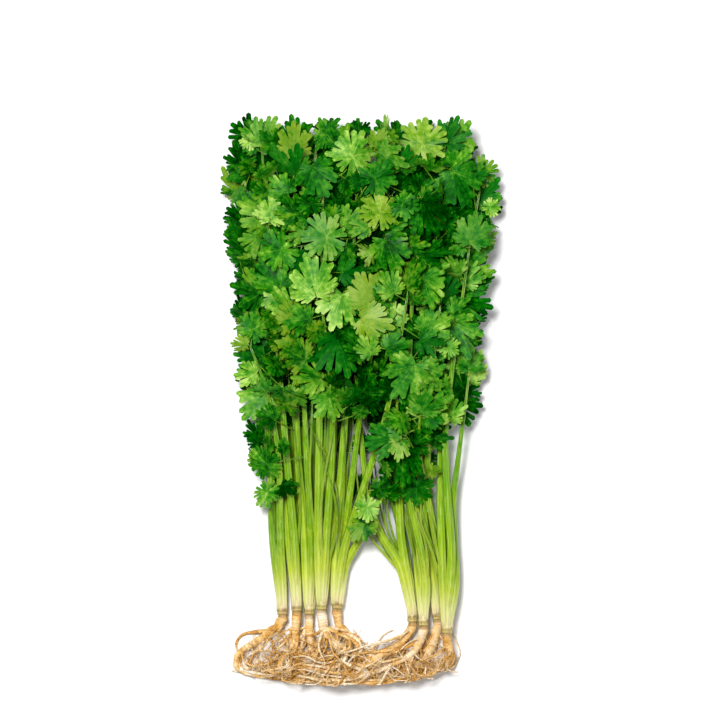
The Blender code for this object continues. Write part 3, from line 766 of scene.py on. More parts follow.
# %% [markdown]
# ## Small leaflets that fill the head
# A coriander leaf is a group: one leaflet at the end of a stalk and a smaller pair beside it. So each leaflet
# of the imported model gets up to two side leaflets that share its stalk. Then small leaflets are laid in
# layers at random places, and at last in the cells of the head that are still bare, so that little of the
# table shows between the leaves. A modeller could add them by eye, but a grid finds bare places more surely.

# %% Side leaflets
SNUG_ROOM = 0.02
for number, (owner, (hub, tip, face, width, root, bend)) in enumerate(placed[:plain_count]):
    v = unit(tip)
    w = unit(face - v * face.dot(v))
    base = hub - v * BASE_SHARE * width
    joint = base + unit(root - base) * min(3.0, 0.6 * np.linalg.norm(root - base))
    for hand in (-1, 1):
        for n in range(7):
            turn = hand * math.radians(rng.uniform(50, 110))
            ahead = v * math.cos(turn) + np.cross(v, w) * math.sin(turn)
            ahead = unit(ahead + w * rng.uniform(-0.5, 0.2))
            size = width * rng.uniform(0.5, 0.78)
            spot = joint + ahead * (BASE_SHARE * size + rng.uniform(1.5, 3.5))
            way = w + [rng.uniform(-0.6, 0.6), rng.uniform(-0.6, 0.6), 0]
            bend = (rng.uniform(-0.3, 0.3), rng.uniform(-0.4, 0.1), rng.uniform(-0.1, 0.4))
            if attempt((spot, ahead, way, size, joint, bend), owner, SNUG_ROOM, 0.8, number):
                break
print("side leaflets:", len(placed) - plain_count)

# %% Small leaflets in layers
HEAD_FOOT = -4
for level, apart, wanted, lean in SMALL_LAYERS:
    taken, count = [], 0
    for _ in range(wanted * 3):
        # Every ninth one is for the few leaflets that hang low among the stems
        y = rng.uniform(HEAD_FOOT, 154) if count % 9 else HEAD_FOOT - abs(rng.gauss(0, 20))
        left, right = between(HEAD, y)
        x = rng.uniform(left + 4, right - 4)
        if y < HEAD_FOOT and level > 0.5 and -50 < x < 12:
            continue
        if count >= wanted:
            break
        if to_nearest(x, y, taken) < apart:
            continue
        if seek(x, y, level, rng.uniform(12, 20), tries=8, lean=lean, room=SNUG_ROOM, snug=0.85):
            taken.append((x, y))
            count += 1
    print("small leaflets at level", level, ":", count)

# %% Leaflets where the head is still bare
# A lobed blade hides little near its edge, so what is covered is counted anew, more strictly
COVERED_FULLY = 0.34
cover[:] = 0
for _, shape in placed:
    cover[near_cells(shape[0][0], shape[0][1], COVERED_FULLY * shape[3])] += 1
bare = 0
for x, y in cells:
    left, right = between(HEAD, y)
    if not (left + 6 < x < right - 6 and -6 < y < 152) or cover[(cells[:, 0] == x) & (cells[:, 1] == y)][0]:
        continue
    for level in (0.75, 0.45, 0.15):
        if seek(x, y, level, rng.uniform(13, 19), tries=5, lean=0.6, room=SNUG_ROOM, snug=0.8):
            break
    else:
        bare += 1
print("leaflets in all:", len(placed), "places left bare:", bare)

# %% [markdown]
# ## Leaflets, modelled one by one
# A coriander leaflet is a fan of rounded lobes with teeth, barely thicker than paper. It could be cut from
# a sheet with a Boolean, but a fan of faces round the point where the veins meet bends much better, and a
# shape that is repeated hundreds of times must have few faces. So a circle is filled as a fan, its rim is
# extruded outwards and subdivided, and every rim corner is pulled to where the real blade has it: each
# tooth gets a tip, two shoulders and a notch behind it, and the notches between lobes are cut deeper. The
# blade is modelled about one metre wide, and each copy is scaled to its own width.

# %% Teeth of a blade
TEETH = 19
STEP = 360 / TEETH
# The middle tooth of each lobe, counted from the tip, and the teeth behind which two lobes part
LOBE_MIDDLES = (0, 3, 6, 9)
LOBE_ENDS = (1, 4, 7)


def teeth_of(span, reach, cut, deep_cut, base):
    """Rows from the tip round one side: middle and half width of a tooth in degrees, its reach, and the angle
    and reach of the notch behind it. span is how far round the last tooth is, reach gives the outline."""
    rows = []
    apart = span / 9.2
    for tooth in range(10):
        lobe = min(LOBE_MIDDLES, key=lambda m: abs(tooth - m))
        middle, notch = tooth * apart - 0.08 * apart * (tooth - lobe), (tooth + 0.5) * apart
        long = float(np.interp(middle, *zip(*reach))) * (1 - 0.1 * abs(tooth - lobe))
        depth = deep_cut if tooth in LOBE_ENDS else cut
        rows.append((middle, 0.33 * apart, long, notch, float(np.interp(notch, *zip(*reach))) * (1 - depth)))
    rows[-1] = (*rows[-1][:3], 180, base)
    return rows


ROUND = teeth_of(168, [(0, 0.61), (30, 0.59), (90, 0.57), (135, 0.51), (180, 0.44)], 0.25, 0.56, 0.18)
FAN = teeth_of(128, [(0, 0.93), (30, 0.87), (60, 0.70), (90, 0.55), (128, 0.30)], 0.20, 0.48, 0.04)
LOBED = teeth_of(126, [(0, 0.97), (20, 0.87), (45, 0.79), (60, 0.71), (90, 0.53), (126, 0.28)], 0.23, 0.62,
                 0.04)
print("teeth:", TEETH, "degrees from tooth to tooth:", round(STEP, 2))

# %% A fan of faces
FAN_HUB = 0.3


def nothing_selected():
    """Operators act on all that is selected, so everything is deselected before a new piece."""
    if bpy.context.object and bpy.context.object.mode != "OBJECT":
        bpy.ops.object.mode_set(mode="OBJECT")
    bpy.ops.object.select_all(action="DESELECT")


def fan_of_faces(name):
    """A round fan with four rim corners for each tooth. Its plain round shape becomes the UV map, so that on
    it one straight ray runs into each tooth."""
    nothing_selected()
    bpy.ops.mesh.primitive_circle_add(vertices=TEETH, radius=FAN_HUB, fill_type="TRIFAN", location=(0, 0, 0))
    blade = bpy.context.object
    blade.name = name
    bpy.ops.object.mode_set(mode="EDIT")
    bpy.ops.mesh.select_mode(type="EDGE")
    bpy.ops.mesh.select_all(action="DESELECT")
    bpy.ops.mesh.select_non_manifold(extend=False, use_wire=False, use_multi_face=False,
                                     use_non_contiguous=False, use_verts=False)
    bpy.ops.mesh.extrude_edges_move(TRANSFORM_OT_translate={"value": (0, 0, 0)})
    bpy.ops.transform.resize(value=(1 / FAN_HUB, 1 / FAN_HUB, 1), center_override=(0, 0, 0))
    bpy.ops.mesh.subdivide(number_cuts=3)
    bpy.ops.mesh.select_all(action="SELECT")
    bpy.ops.transform.rotate(value=math.pi, orient_axis="Z", center_override=(0, 0, 0))
    bpy.ops.object.mode_set(mode="OBJECT")
    layer = blade.data.uv_layers.active or blade.data.uv_layers.new()
    layer.name = "blade_place"
    for loop in blade.data.loops:
        spot = blade.data.vertices[loop.vertex_index].co
        layer.data[loop.index].uv = (spot.x / 2 + 0.5, spot.y / 2 + 0.5)
    return blade


# %% Pull the teeth into shape
SHOULDER_REACH = 0.945
BLADE_REACH = 0.94


def pull_teeth(blade, teeth, rng):
    """Every corner moved to its angle and reach on the real blade, with no two teeth alike. The middle of the
    blade goes into a vertex group, because only there the blade has its full thickness."""
    inner = blade.vertex_groups.new(name="inner")
    wild = {k: (rng.uniform(0.84, 1.1), rng.uniform(-2, 2), rng.uniform(0.8, 1.1)) for k in range(-9, 10)}
    wild[0] = (1.0, 0.0, 1.0)
    for corner in blade.data.vertices:
        out = math.hypot(corner.co.x, corner.co.y)
        if out < 0.01:
            inner.add([corner.index], 1.0, "ADD")
            continue
        even = math.degrees(math.atan2(corner.co.x, corner.co.y))
        hand = -1 if even < 0 else 1
        tooth = min(round(abs(even) / STEP), 9)
        off = abs(even) - tooth * STEP
        grown, turned, _ = wild[hand * tooth]
        middle, half, reach, _, _ = teeth[tooth]
        if abs(off) > 0.4 * STEP:
            behind = min(int(abs(even) / STEP), 9)
            angle, reach = teeth[behind][3], teeth[behind][4] * wild[hand * behind][2]
            if out < 0.5:
                reach *= 0.6
                inner.add([corner.index], 1.0, "ADD")
        elif abs(off) < 2:
            angle, reach = middle + turned, reach * grown
        else:
            angle, reach = middle + turned + math.copysign(half, off), reach * grown * SHOULDER_REACH
        angle, reach = math.radians(angle * hand), reach * BLADE_REACH
        corner.co.x, corner.co.y = reach * math.sin(angle), reach * math.cos(angle)


# %% Model a leaflet
BASE_HUB = 0.33
BLADE_THICKNESS = 0.012


def thicken(blade):
    """Two skins, apart in the middle of the blade and merged at its rim."""
    solid = blade.modifiers.new("thickness", "SOLIDIFY")
    solid.thickness = BLADE_THICKNESS
    solid.offset = 0
    solid.vertex_group = "inner"
    solid.thickness_vertex_group = 0
    solid.use_rim = False
    bpy.ops.object.modifier_apply(modifier=solid.name)
    bpy.ops.object.mode_set(mode="EDIT")
    bpy.ops.mesh.select_all(action="SELECT")
    bpy.ops.mesh.remove_doubles(threshold=0.0001)
    bpy.ops.mesh.normals_make_consistent(inside=False)
    bpy.ops.object.mode_set(mode="OBJECT")
    blade.vertex_groups.clear()


def model_leaflet(name, teeth, seed):
    """A blade with its tip towards +Y, flat in the XY plane. A fan's hub is moved back, because its veins
    meet at its base. Each face knows its direction from the hub and whether it is on the upper skin."""
    blade = fan_of_faces(name)
    pull_teeth(blade, teeth, random.Random(seed))
    turn = blade.data.attributes.new("turn", "FLOAT", "FACE")
    for face in blade.data.polygons:
        turn.data[face.index].value = math.atan2(face.center.x, face.center.y)
    if teeth is not ROUND:
        for corner in blade.data.vertices:
            corner.co.y -= BASE_HUB
    thicken(blade)
    side = blade.data.attributes.new("upper", "FLOAT", "FACE")
    for face in blade.data.polygons:
        side.data[face.index].value = 1.0 if face.normal.z > 0 else 0.0
    blade.data.attributes.new("tone", "FLOAT", "FACE")
    blade.data.attributes.new("warm", "FLOAT", "FACE")
    bpy.ops.object.shade_smooth_by_angle(angle=math.radians(50))
    print(name, "faces", len(blade.data.polygons), "width", round(blade.dimensions.x, 3))
    return blade


patterns = [model_leaflet("leaflet_pattern_%d" % k, teeth, 40 + k)
            for k, teeth in enumerate((LOBED, ROUND, LOBED, FAN, FAN, ROUND, FAN, LOBED))]

# %% [markdown]
# ## Every leaflet laid in its place
# What repeats is modelled once and copied. Instances would be lighter, but each real blade is bent in its
# own way: cupped, folded along the midrib, its tip drooping, its edge waved. So each copy has its own mesh,
# and its points are moved there by a formula. The leaflets of a plant are then joined, so that a plant's
# leaves are one piece. Leaves on top are light and those deep in the bunch dark, painted shade where less light
# reaches, so each leaflet gets a tone from its depth, and the ones that stand out in front have a tone of their
# own.

# %% Bend a blade
FULL_TURN = 6.28


def bent(points, shape, wave):
    """Where the points of a blade one metre wide go on a leaflet that is bent and laid in its place."""
    hub, tip_way, face_way, width, root, bend = shape
    v = unit(tip_way)
    w = unit(face_way - v * face_way.dot(v))
    u = np.cross(v, w)
    side, ahead = points[:, 0] * width, points[:, 1] * width
    reach = np.hypot(points[:, 0], points[:, 1])
    lift = bend[0] * reach ** 2 * width + bend[1] * side ** 2 / width
    lift -= bend[2] * np.maximum(ahead, 0) ** 2 / width
    for size, times, phase in wave:
        lift += size * width * reach ** 1.5 * np.sin(times * np.arctan2(points[:, 0], points[:, 1]) + phase)
    lift += points[:, 2] * width
    return hub + side[:, None] * u + ahead[:, None] * v + lift[:, None] * w


def place_object(item):
    """An object counts only once it is in the scene."""
    bpy.context.scene.collection.objects.link(item)
    return item


def joined(items, name):
    """Several objects made into one, with its name on object and mesh."""
    nothing_selected()
    for item in items:
        item.select_set(True)
    bpy.context.view_layer.objects.active = items[0]
    if len(items) > 1:
        bpy.ops.object.join()
    items[0].name = name
    items[0].data.name = name
    return items[0]


# %% Copy a leaflet
LOWEST_POINT = 0.05
# Painted shade: a leaflet's tone drops by this much for each millimetre that it lies below the top of the head
TOP_TONE, SHADE_BY_DEPTH = 0.56, 0.032


def lay_copy(pattern, shape):
    """A copy of a blade, waved, bent and laid in its place, where it stays above the table."""
    leaf = place_object(pattern.copy())
    leaf.data = pattern.data.copy()
    flat = np.zeros(len(leaf.data.vertices) * 3)
    pattern.data.vertices.foreach_get("co", flat)
    wave = [(rng.uniform(0.08, 0.2), rng.choice((2, 3)), rng.uniform(0, FULL_TURN)),
            (rng.uniform(0.05, 0.12), rng.choice((4, 5)), rng.uniform(0, FULL_TURN))]
    spots = bent(flat.reshape(-1, 3), shape, wave)
    spots[:, 2] = np.maximum(spots[:, 2], LOWEST_POINT)
    leaf.data.vertices.foreach_set("co", ((spots + SEAT) * MM).ravel())
    return leaf


def tint(leaf, hub, number):
    """Its lightness and its hue, kept on the faces. The lightness drops with the leaflet's depth in the bunch,
    which is painted shade, and has a random part. It also swings softly round the blade, painted light and
    shade on its lobes.
    """
    depth = max(0, head_depth(hub[0], hub[1])[1] - hub[2])
    tone = min(0.9, max(0.1, TOP_TONE - SHADE_BY_DEPTH * depth + rng.gauss(0, 0.19)))
    warm = rng.random()
    if number is not None:
        tone, warm = FRONT_TONES[number], FRONT_HUES.get(number, warm)
    turns = np.zeros(len(leaf.data.polygons))
    leaf.data.attributes["turn"].data.foreach_get("value", turns)
    # Painted light and shade: the lightness swings round the blade, as if its lobes faced the light differently
    shade = tone + 0.09 * np.sin(2 * turns + rng.uniform(0, FULL_TURN))
    shade += 0.07 * np.sin(5 * turns + rng.uniform(0, FULL_TURN))
    leaf.data.attributes["tone"].data.foreach_set("value", shade)
    leaf.data.attributes["warm"].data.foreach_set("value", [warm] * len(turns))


# %% Lay the leaflets of every plant
rng = random.Random(SEED + 7)
front = {}
for number, (x, y, width, heading) in enumerate(TOP_LEAFLETS[:len(FRONT_TONES)]):
    hubs = [shape[0] for _, shape in placed[:60]]
    off = [math.hypot(hub[0] - x, hub[1] - y) + NOWHERE * (hub[2] < 12) for hub in hubs]
    if min(off) < 8:
        front[int(np.argmin(off))] = number
leaves = {}
for index, name in enumerate(names):
    copies = []
    for order, (owner, shape) in enumerate(placed):
        if stems[owner]["plant"] != index:
            continue
        # The first leaflet in front is a round one
        pattern = rng.choice(patterns) if front.get(order) != 0 else patterns[1]
        leaf = lay_copy(pattern, shape)
        tint(leaf, shape[0], front.get(order))
        copies.append(leaf)
    leaves[name] = joined(copies, name + "_leaves")
    print(leaves[name].name, "leaflets", len(copies), "faces", len(leaves[name].data.polygons))
for pattern in patterns:
    bpy.data.objects.remove(pattern)

# %% [markdown]
# ## Stems, stalks and crowns
# A stem is a long soft rod that tapers towards its tip. It could be a stretched cylinder, but a curve with
# a round bevel follows the same smooth line as the imported stem and takes its thickness point by point. The
# curve is turned into a mesh at the end. Each ring of it remembers how far from the crown it is, because
# the colour runs from cream at the crown to green under the leaves, darkened there by painted shade, and every
# other point round it is a rib.

# %% Round rods
CAP = 0.5


def rods(name, parts, sides):
    """One mesh of round rods with rounded, closed ends. A part has points and radii in millimetres."""
    nothing_selected()
    curve = bpy.data.curves.new(name, "CURVE")
    curve.dimensions = "3D"
    curve.bevel_depth = 1.0
    curve.bevel_resolution = sides // 2 - 2
    reach, tone, rib = [], [], []
    for part in parts:
        points, radii = np.array(part["points"], float), np.array(part["radii"], float)
        first = points[0] + unit(points[0] - points[1]) * radii[0] * CAP
        last = points[-1] + unit(points[-1] - points[-2]) * radii[-1] * CAP
        points, radii = np.vstack([first, points, last]), np.concatenate([[0], radii, [0]])
        run = np.concatenate([[0], np.cumsum(np.linalg.norm(np.diff(points, axis=0), axis=1))])
        points = (points + SEAT) * MM
        line = curve.splines.new("POLY")
        line.points.add(len(points) - 1)
        line.points.foreach_set("co", np.hstack([points, np.ones((len(points), 1))]).ravel())
        line.points.foreach_set("radius", radii * MM)
        reach += list(np.repeat(run + part.get("start", 0), sides))
        tone += [part["tone"]] * (len(points) * sides)
        rib += [1.0, 0.0] * (len(points) * sides // 2)
    item = place_object(bpy.data.objects.new(name, curve))
    item.select_set(True)
    bpy.context.view_layer.objects.active = item
    bpy.ops.object.convert(target="MESH")
    item = bpy.context.object
    if len(item.data.vertices) != len(reach):
        raise ValueError("the rings of %s don't match" % name)
    for key, values in (("reach", reach), ("tone", tone), ("rib", rib)):
        layer = item.data.attributes.new(key, "FLOAT", "POINT")
        layer.data.foreach_set("value", values)
    bpy.ops.object.mode_set(mode="EDIT")
    bpy.ops.mesh.select_all(action="SELECT")
    bpy.ops.mesh.remove_doubles(threshold=0.000002)
    bpy.ops.mesh.normals_make_consistent(inside=False)
    bpy.ops.object.mode_set(mode="OBJECT")
    bpy.ops.object.shade_smooth_by_angle(angle=math.radians(75))
    return item


# %% Make the stems
THICK_POINTS, SLIM_POINTS = 36, 20
rng = random.Random(SEED + 21)
stem_parts = {name: [] for name in names}
heights = [float(np.mean([p[2] for p in line["points"] if p[1] < 0] or [0])) for line in stems]
for line, height in zip(stems, heights):
    thick = line["kind"] == "stem"
    count = THICK_POINTS if thick else SLIM_POINTS
    points = np.array(line["points"])
    low = crowns[line["plant"]]["points"][0]
    foot = low + ((points[0][0] - low[0]) * 0.75 + rng.uniform(-0.5, 0.5), rng.uniform(1.6, 2.6),
                  (points[0][2] - low[2]) * 0.75 + rng.uniform(-0.5, 0.5))
    # Painted shade and light: stems that lie deep in the bunch get a higher tone, which the stem material
    # paints darker, and those in front a lower one, which it paints lighter; a random part is added
    tone = 0.4 * sum(height < other for other in heights) / len(heights) + 0.6 * rng.random()
    radii = widths(np.concatenate([[line["radii"][0] * 0.8], line["radii"]]), count)
    if thick:
        radii[2:8] *= (1.06, 1.1, 1.1, 1.08, 1.05, 1.02)
    path = spline(np.vstack([foot, points]), count)
    stem_parts[names[line["plant"]]].append({"points": path, "radii": radii, "start": 2.2, "tone": tone})
print("stems:", len(stems))

# %% Make the stalks
STALK_POINTS = 7
stalk_parts = {name: [] for name in names}
for owner, (hub, tip_way, face_way, width, root, bend) in placed:
    v = unit(tip_way)
    base = hub - v * BASE_HUB * width
    joint = base + unit(root - base) * min(2.5, 0.5 * np.linalg.norm(root - base))
    path = spline([base + v * 0.05 * width, base, joint, root], STALK_POINTS)
    radii = np.linspace(0.24, 0.5 if np.linalg.norm(root - base) > 4 else 0.38, STALK_POINTS)
    # A stalk is as green as a stem 130 to 190 mm from its crown
    part = {"points": path, "radii": radii, "start": 130 + 60 * rng.random(), "tone": rng.random()}
    stalk_parts[names[stems[owner]["plant"]]].append(part)
print("stalks:", len(placed))

# %% Make the crowns and join the green parts
shoots = {}
for index, name in enumerate(names):
    low = crowns[index]["points"][0]
    # Two low rings, where old leaf stalks came off
    ring, second = rng.uniform(0.7, 1.2), rng.uniform(2.6, 4.4)
    shape = [(0.0, 2.7), (ring - 0.3, 2.75), (ring, 2.95), (ring + 0.4, 2.8), (second - 0.4, 2.75),
             (second, 2.9 + 0.15 * rng.random()), (second + 0.5, 2.7), (6.5, 2.5), (9, 2.1), (12, 1.4)]
    stem_parts[name].append({"points": [low + (0, climb, 0) for climb, _ in shape],
                             "radii": [radius for _, radius in shape], "start": 1.2 - ring, "tone": 0.3})
for name in names:
    pieces = [rods(name + "_thick", stem_parts[name], 12), rods(name + "_slim", stalk_parts[name], 6)]
    shoots[name] = joined(pieces, name + "_stems")
    print(shoots[name].name, "faces", len(shoots[name].data.polygons))

# %% [markdown]
# ## Roots
# A taproot leaves each crown, bends over where the bunch was laid down, and sends out side roots that flow
# along with it and end crooked. Fine roots branch off those, and root hairs off all of them. They could be
# grown with hair curves, but rods keep a real thickness in any export. A root is never evenly round, so its
# thickness wanders along its length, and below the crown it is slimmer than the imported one. Strands that
# come near the edge of the room they lie in are eased back, so that they hang together like a net.

# %% Crooked root lines
ROOM_MIDDLE, ROOM_HALF, ROOM_SAG = -8, 55, 6


def held(points, lift=0.0):
    """Root points eased back from the edges of the room they lie in. Its lower edge hangs like a hammock."""
    low = np.array(ROOT_ROOM[0]) + np.zeros_like(points)
    sag = ROOM_SAG * ((points[:, 0] - ROOM_MIDDLE) / ROOM_HALF) ** 2
    low[:, 1] += sag + lift * (1 + np.sin(points[:, 0] / 9 + 7 * lift))
    high = np.array(ROOT_ROOM[1])
    soft = np.array((5.0, 4.0, 2.0))
    over = np.maximum(low + soft - points, 0)
    points = points + over - soft * (1 - np.exp(-over / soft))
    over = np.maximum(points - (high - soft), 0)
    return points - over + soft * (1 - np.exp(-over / soft))


def wander(start, way, steps, length, bend, pull=(0, 0, 0)):
    """A crooked line that starts one way and keeps turning, steered away from the edges of the room."""
    points, pull = [np.array(start, float)], np.array(pull)
    way = unit(np.array(way, float))
    for _ in range(steps):
        x, y, z = points[-1]
        margin = y - (ROOT_ROOM[0][1] + ROOM_SAG * ((x - ROOM_MIDDLE) / ROOM_HALF) ** 2)
        steer = np.array([0.4 * (x < -62) - 0.4 * (x > 48), max(0, 9 - margin) * 0.11,
                          0.3 * (z < 3) - 0.3 * (z > 19)])
        turn = [rng.uniform(-bend, bend), rng.uniform(-bend, bend), rng.uniform(-bend, bend)]
        way = unit(way + turn + pull + steer)
        points.append(points[-1] + way * length / steps)
    return held(np.array(points), rng.uniform(0, 1.2))


def knobbly(radii):
    """Radii that wander by up to an eighth."""
    return radii * np.array([rng.uniform(0.88, 1.12) for _ in radii])


# %% Taproots and side roots
TAPROOT_POINTS, SIDE_POINTS, STRAND_POINTS = 44, 22, 14


def make_taproot(line):
    """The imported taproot, knobbly, a little crooked and slimmer below the crown."""
    count = TAPROOT_POINTS
    path = spline(line["points"], count)
    path[3:] = held(path[3:], 0.4)
    slimmer = np.interp(np.arange(count), (0, 3, 12, count - 1), (1.0, 0.98, 0.76, 0.82))
    radii = knobbly(widths(line["radii"], count)) * slimmer
    path[3:, 0] += [rng.uniform(-0.3, 0.3) for _ in range(count - 3)]
    path[3:, 1] += [rng.uniform(-0.2, 0.2) for _ in range(count - 3)]
    return {"points": path, "radii": radii, "start": 0, "tone": 0.1 + 0.7 * rng.random()}


def make_strand(line):
    """A packed strand, a little slimmer."""
    path = held(spline(line["points"], STRAND_POINTS))
    return {"points": path, "radii": widths(line["radii"], STRAND_POINTS) * 0.85, "start": 40,
            "tone": rng.random()}


def make_side_root(path):
    """It leaves the taproot, flows along with it and ends crooked."""
    at = rng.randrange(2, 24)
    drift = np.array([rng.uniform(-10, 10), rng.uniform(-2, 12), rng.uniform(-9, 5)])
    rest = path[at::4][:rng.randrange(4, 9)]
    share = np.linspace(0, 1, len(rest))[:, None] ** 0.8
    way = unit(rest[-1] - rest[-2]) + [rng.uniform(-0.5, 0.5), rng.uniform(-0.6, 0.4), rng.uniform(-0.3, 0.3)]
    end = wander(rest[-1] + drift, way, 4, rng.uniform(12, 34), 0.5)
    points = held(spline(np.vstack([rest + drift * share, end[1:]]), SIDE_POINTS), rng.uniform(0, 1.5))
    points[0] = path[at]
    radii = np.linspace(rng.uniform(0.6, 1.5), 0.2, SIDE_POINTS)
    return {"points": points, "radii": knobbly(radii), "start": 50, "tone": rng.random()}


def make_top_root(path):
    """A shorter root that grows straight down from near the crown."""
    at = rng.randrange(1, 14)
    way = [rng.uniform(-0.9, 0.6), -1.0, rng.uniform(-0.3, 0.5)]
    points = spline(wander(path[at], way, 7, rng.uniform(20, 44), 0.45, (-0.05, -0.05, -0.03)), 20)
    points[0] = path[at]
    radii = np.linspace(rng.uniform(0.35, 1.0), 0.16, 20)
    return {"points": points, "radii": knobbly(radii), "start": 50, "tone": rng.random()}


# %% Fine roots and hairs
def make_fine_root(source):
    """A thin root that leaves another one sideways."""
    at = rng.randrange(2, len(source["points"]) - 2)
    along = unit(source["points"][at + 1] - source["points"][at - 1])
    way = along * 0.7 + [rng.uniform(-1, 1), rng.uniform(-1.1, 0.3), rng.uniform(-0.6, 0.8)]
    points = spline(wander(source["points"][at], way, 6, rng.uniform(12, 34), 0.6), 14)
    radii = np.linspace(rng.uniform(0.22, 0.42), 0.1, 14)
    return {"points": points, "radii": radii, "start": 60, "tone": 0.8 * rng.random()}


def make_hair(source):
    """A root hair, 0.26 mm thick where it starts."""
    at = rng.randrange(2, len(source["points"]) - 1)
    way = [rng.uniform(-1, 1), rng.uniform(-1, 0.7), rng.uniform(-0.8, 1)]
    points = spline(wander(source["points"][at], way, 5, rng.uniform(5, 18), 0.8), 9)
    return {"points": points, "radii": np.linspace(0.13, 0.05, 9), "start": 70, "tone": rng.random()}


# %% Make the roots of every plant
SIDE_ROOTS, TOP_ROOTS, FINE_ROOTS, HAIRS = 8, 7, 18, 60
rng = random.Random(SEED + 33)
root_objects = {}
for index, name in enumerate(names):
    thick, slim, hairs = [], [], []
    for line in [root for root in roots if root["plant"] == index]:
        if line["kind"] == "strand":
            slim.append(make_strand(line))
            continue
        thick.append(make_taproot(line))
        slim += [make_side_root(thick[-1]["points"]) for _ in range(SIDE_ROOTS)]
    slim += [make_top_root(thick[0]["points"]) for _ in range(TOP_ROOTS)]
    for _ in range(FINE_ROOTS):
        hairs.append(make_fine_root(rng.choice(slim + thick * 5)))
    for _ in range(HAIRS):
        hairs.append(make_hair(rng.choice(slim + thick * 4 + hairs)))
    parts = [rods(name + "_taproot", thick, 12), rods(name + "_side_roots", slim, 6),
             rods(name + "_hairs", hairs, 4)]
    root_objects[name] = joined(parts, name + "_root_strands")
    print(root_objects[name].name, "faces", len(root_objects[name].data.polygons))

# %% [markdown]
# ## Leaf veins
# Veins fan out from the hub of a blade, one into each tooth, and the one in the middle of a lobe is
# thicker. They are finer than any mesh here, and a painted picture would need a file, so a shader group
# draws them from the blade's own UV map: the angle from the tip says which tooth a point belongs to, and
# the distance to the middle of that tooth says how close the nearest vein is. Between two veins the blade
# is puffed up a little.

# %% Helpers for shader trees
def maths(tree, kind, first, second=None, third=None):
    """One Math node. Its inputs are sockets or numbers."""
    node = tree.nodes.new("ShaderNodeMath")
    node.operation = kind
    for slot, value in enumerate((first, second, third)):
        if value is None:
            continue
        if isinstance(value, (int, float)):
            node.inputs[slot].default_value = value
        else:
            tree.links.new(value, node.inputs[slot])
    return node.outputs[0]


def product(tree, first, second):
    """Two values multiplied."""
    return maths(tree, "MULTIPLY", first, second)


def opposite(tree, share):
    """What is left of 1."""
    return maths(tree, "SUBTRACT", 1.0, share)


def smooth(tree, value, low, high):
    """1 where the value is under low, 0 where it is over high."""
    node = tree.nodes.new("ShaderNodeMapRange")
    node.interpolation_type = "SMOOTHSTEP"
    tree.links.new(value, node.inputs["Value"])
    for key, number in (("From Min", low), ("From Max", high), ("To Min", 1.0), ("To Max", 0.0)):
        node.inputs[key].default_value = number
    return node.outputs["Result"]


# %% Shader group: veins of a blade
TOOTH_ARC = 0.42


def leaf_vein_group():
    """Masks of the main and the fine veins, how puffed the blade is, and how far a point is from the hub."""
    group = bpy.data.node_groups.new("leaf_veins", "ShaderNodeTree")
    group.interface.new_socket("Place", in_out="INPUT", socket_type="NodeSocketVector")
    for key in ("Main", "Fine", "Puff", "Reach"):
        group.interface.new_socket(key, in_out="OUTPUT", socket_type="NodeSocketFloat")
    start, end = group.nodes.new("NodeGroupInput"), group.nodes.new("NodeGroupOutput")
    split = group.nodes.new("ShaderNodeSeparateXYZ")
    group.links.new(start.outputs["Place"], split.inputs[0])
    x = maths(group, "MULTIPLY_ADD", split.outputs["X"], 2.0, -1.0)
    y = maths(group, "MULTIPLY_ADD", split.outputs["Y"], 2.0, -1.0)
    reach = maths(group, "SQRT", maths(group, "ADD", product(group, x, x), product(group, y, y)))
    turn = product(group, maths(group, "ABSOLUTE", maths(group, "ARCTAN2", x, y)), 180 / math.pi)
    tooth = product(group, turn, 1 / STEP)
    part = maths(group, "FRACT", maths(group, "ADD", tooth, 0.5))
    off = maths(group, "ABSOLUTE", maths(group, "SUBTRACT", part, 0.5))
    fine = smooth(group, product(group, product(group, off, reach), TOOTH_ARC), 0.001, 0.010)
    main = None
    for lobe in LOBE_MIDDLES[:3]:
        gap = maths(group, "ABSOLUTE", maths(group, "SUBTRACT", tooth, float(lobe)))
        line = smooth(group, product(group, product(group, gap, reach), TOOTH_ARC), 0.002, 0.016)
        main = line if main is None else maths(group, "MAXIMUM", main, line)
    group.links.new(main, end.inputs["Main"])
    group.links.new(fine, end.inputs["Fine"])
    group.links.new(smooth(group, off, 0.02, 0.42), end.inputs["Puff"])
    group.links.new(reach, end.inputs["Reach"])
    return group


vein_group = leaf_vein_group()
print("shader group:", vein_group.name)

# %% [markdown]
# ## Mottling
# No leaf, stem or root has one even colour. A painted texture could show that, but this group makes it
# without a file: two soft cloudy values from noise, one broad and one fine, on the object's own
# coordinates. Each material uses it at its own scale.

# %% Shader group: mottling
def mottle_group():
    """A broad and a fine cloud, each with its own scale."""
    group = bpy.data.node_groups.new("mottling", "ShaderNodeTree")
    group.interface.new_socket("Place", in_out="INPUT", socket_type="NodeSocketVector")
    group.interface.new_socket("Broad Scale", in_out="INPUT", socket_type="NodeSocketFloat")
    group.interface.new_socket("Fine Scale", in_out="INPUT", socket_type="NodeSocketFloat")
    group.interface.new_socket("Broad", in_out="OUTPUT", socket_type="NodeSocketFloat")
    group.interface.new_socket("Fine", in_out="OUTPUT", socket_type="NodeSocketFloat")
    start, end = group.nodes.new("NodeGroupInput"), group.nodes.new("NodeGroupOutput")
    for key in ("Broad", "Fine"):
        noise = group.nodes.new("ShaderNodeTexNoise")
        noise.inputs["Detail"].default_value = 3.0
        group.links.new(start.outputs["Place"], noise.inputs["Vector"])
        group.links.new(start.outputs[key + " Scale"], noise.inputs["Scale"])
        group.links.new(noise.outputs["Fac"], end.inputs[key])
    return group


mottling = mottle_group()
print("shader group:", mottling.name)
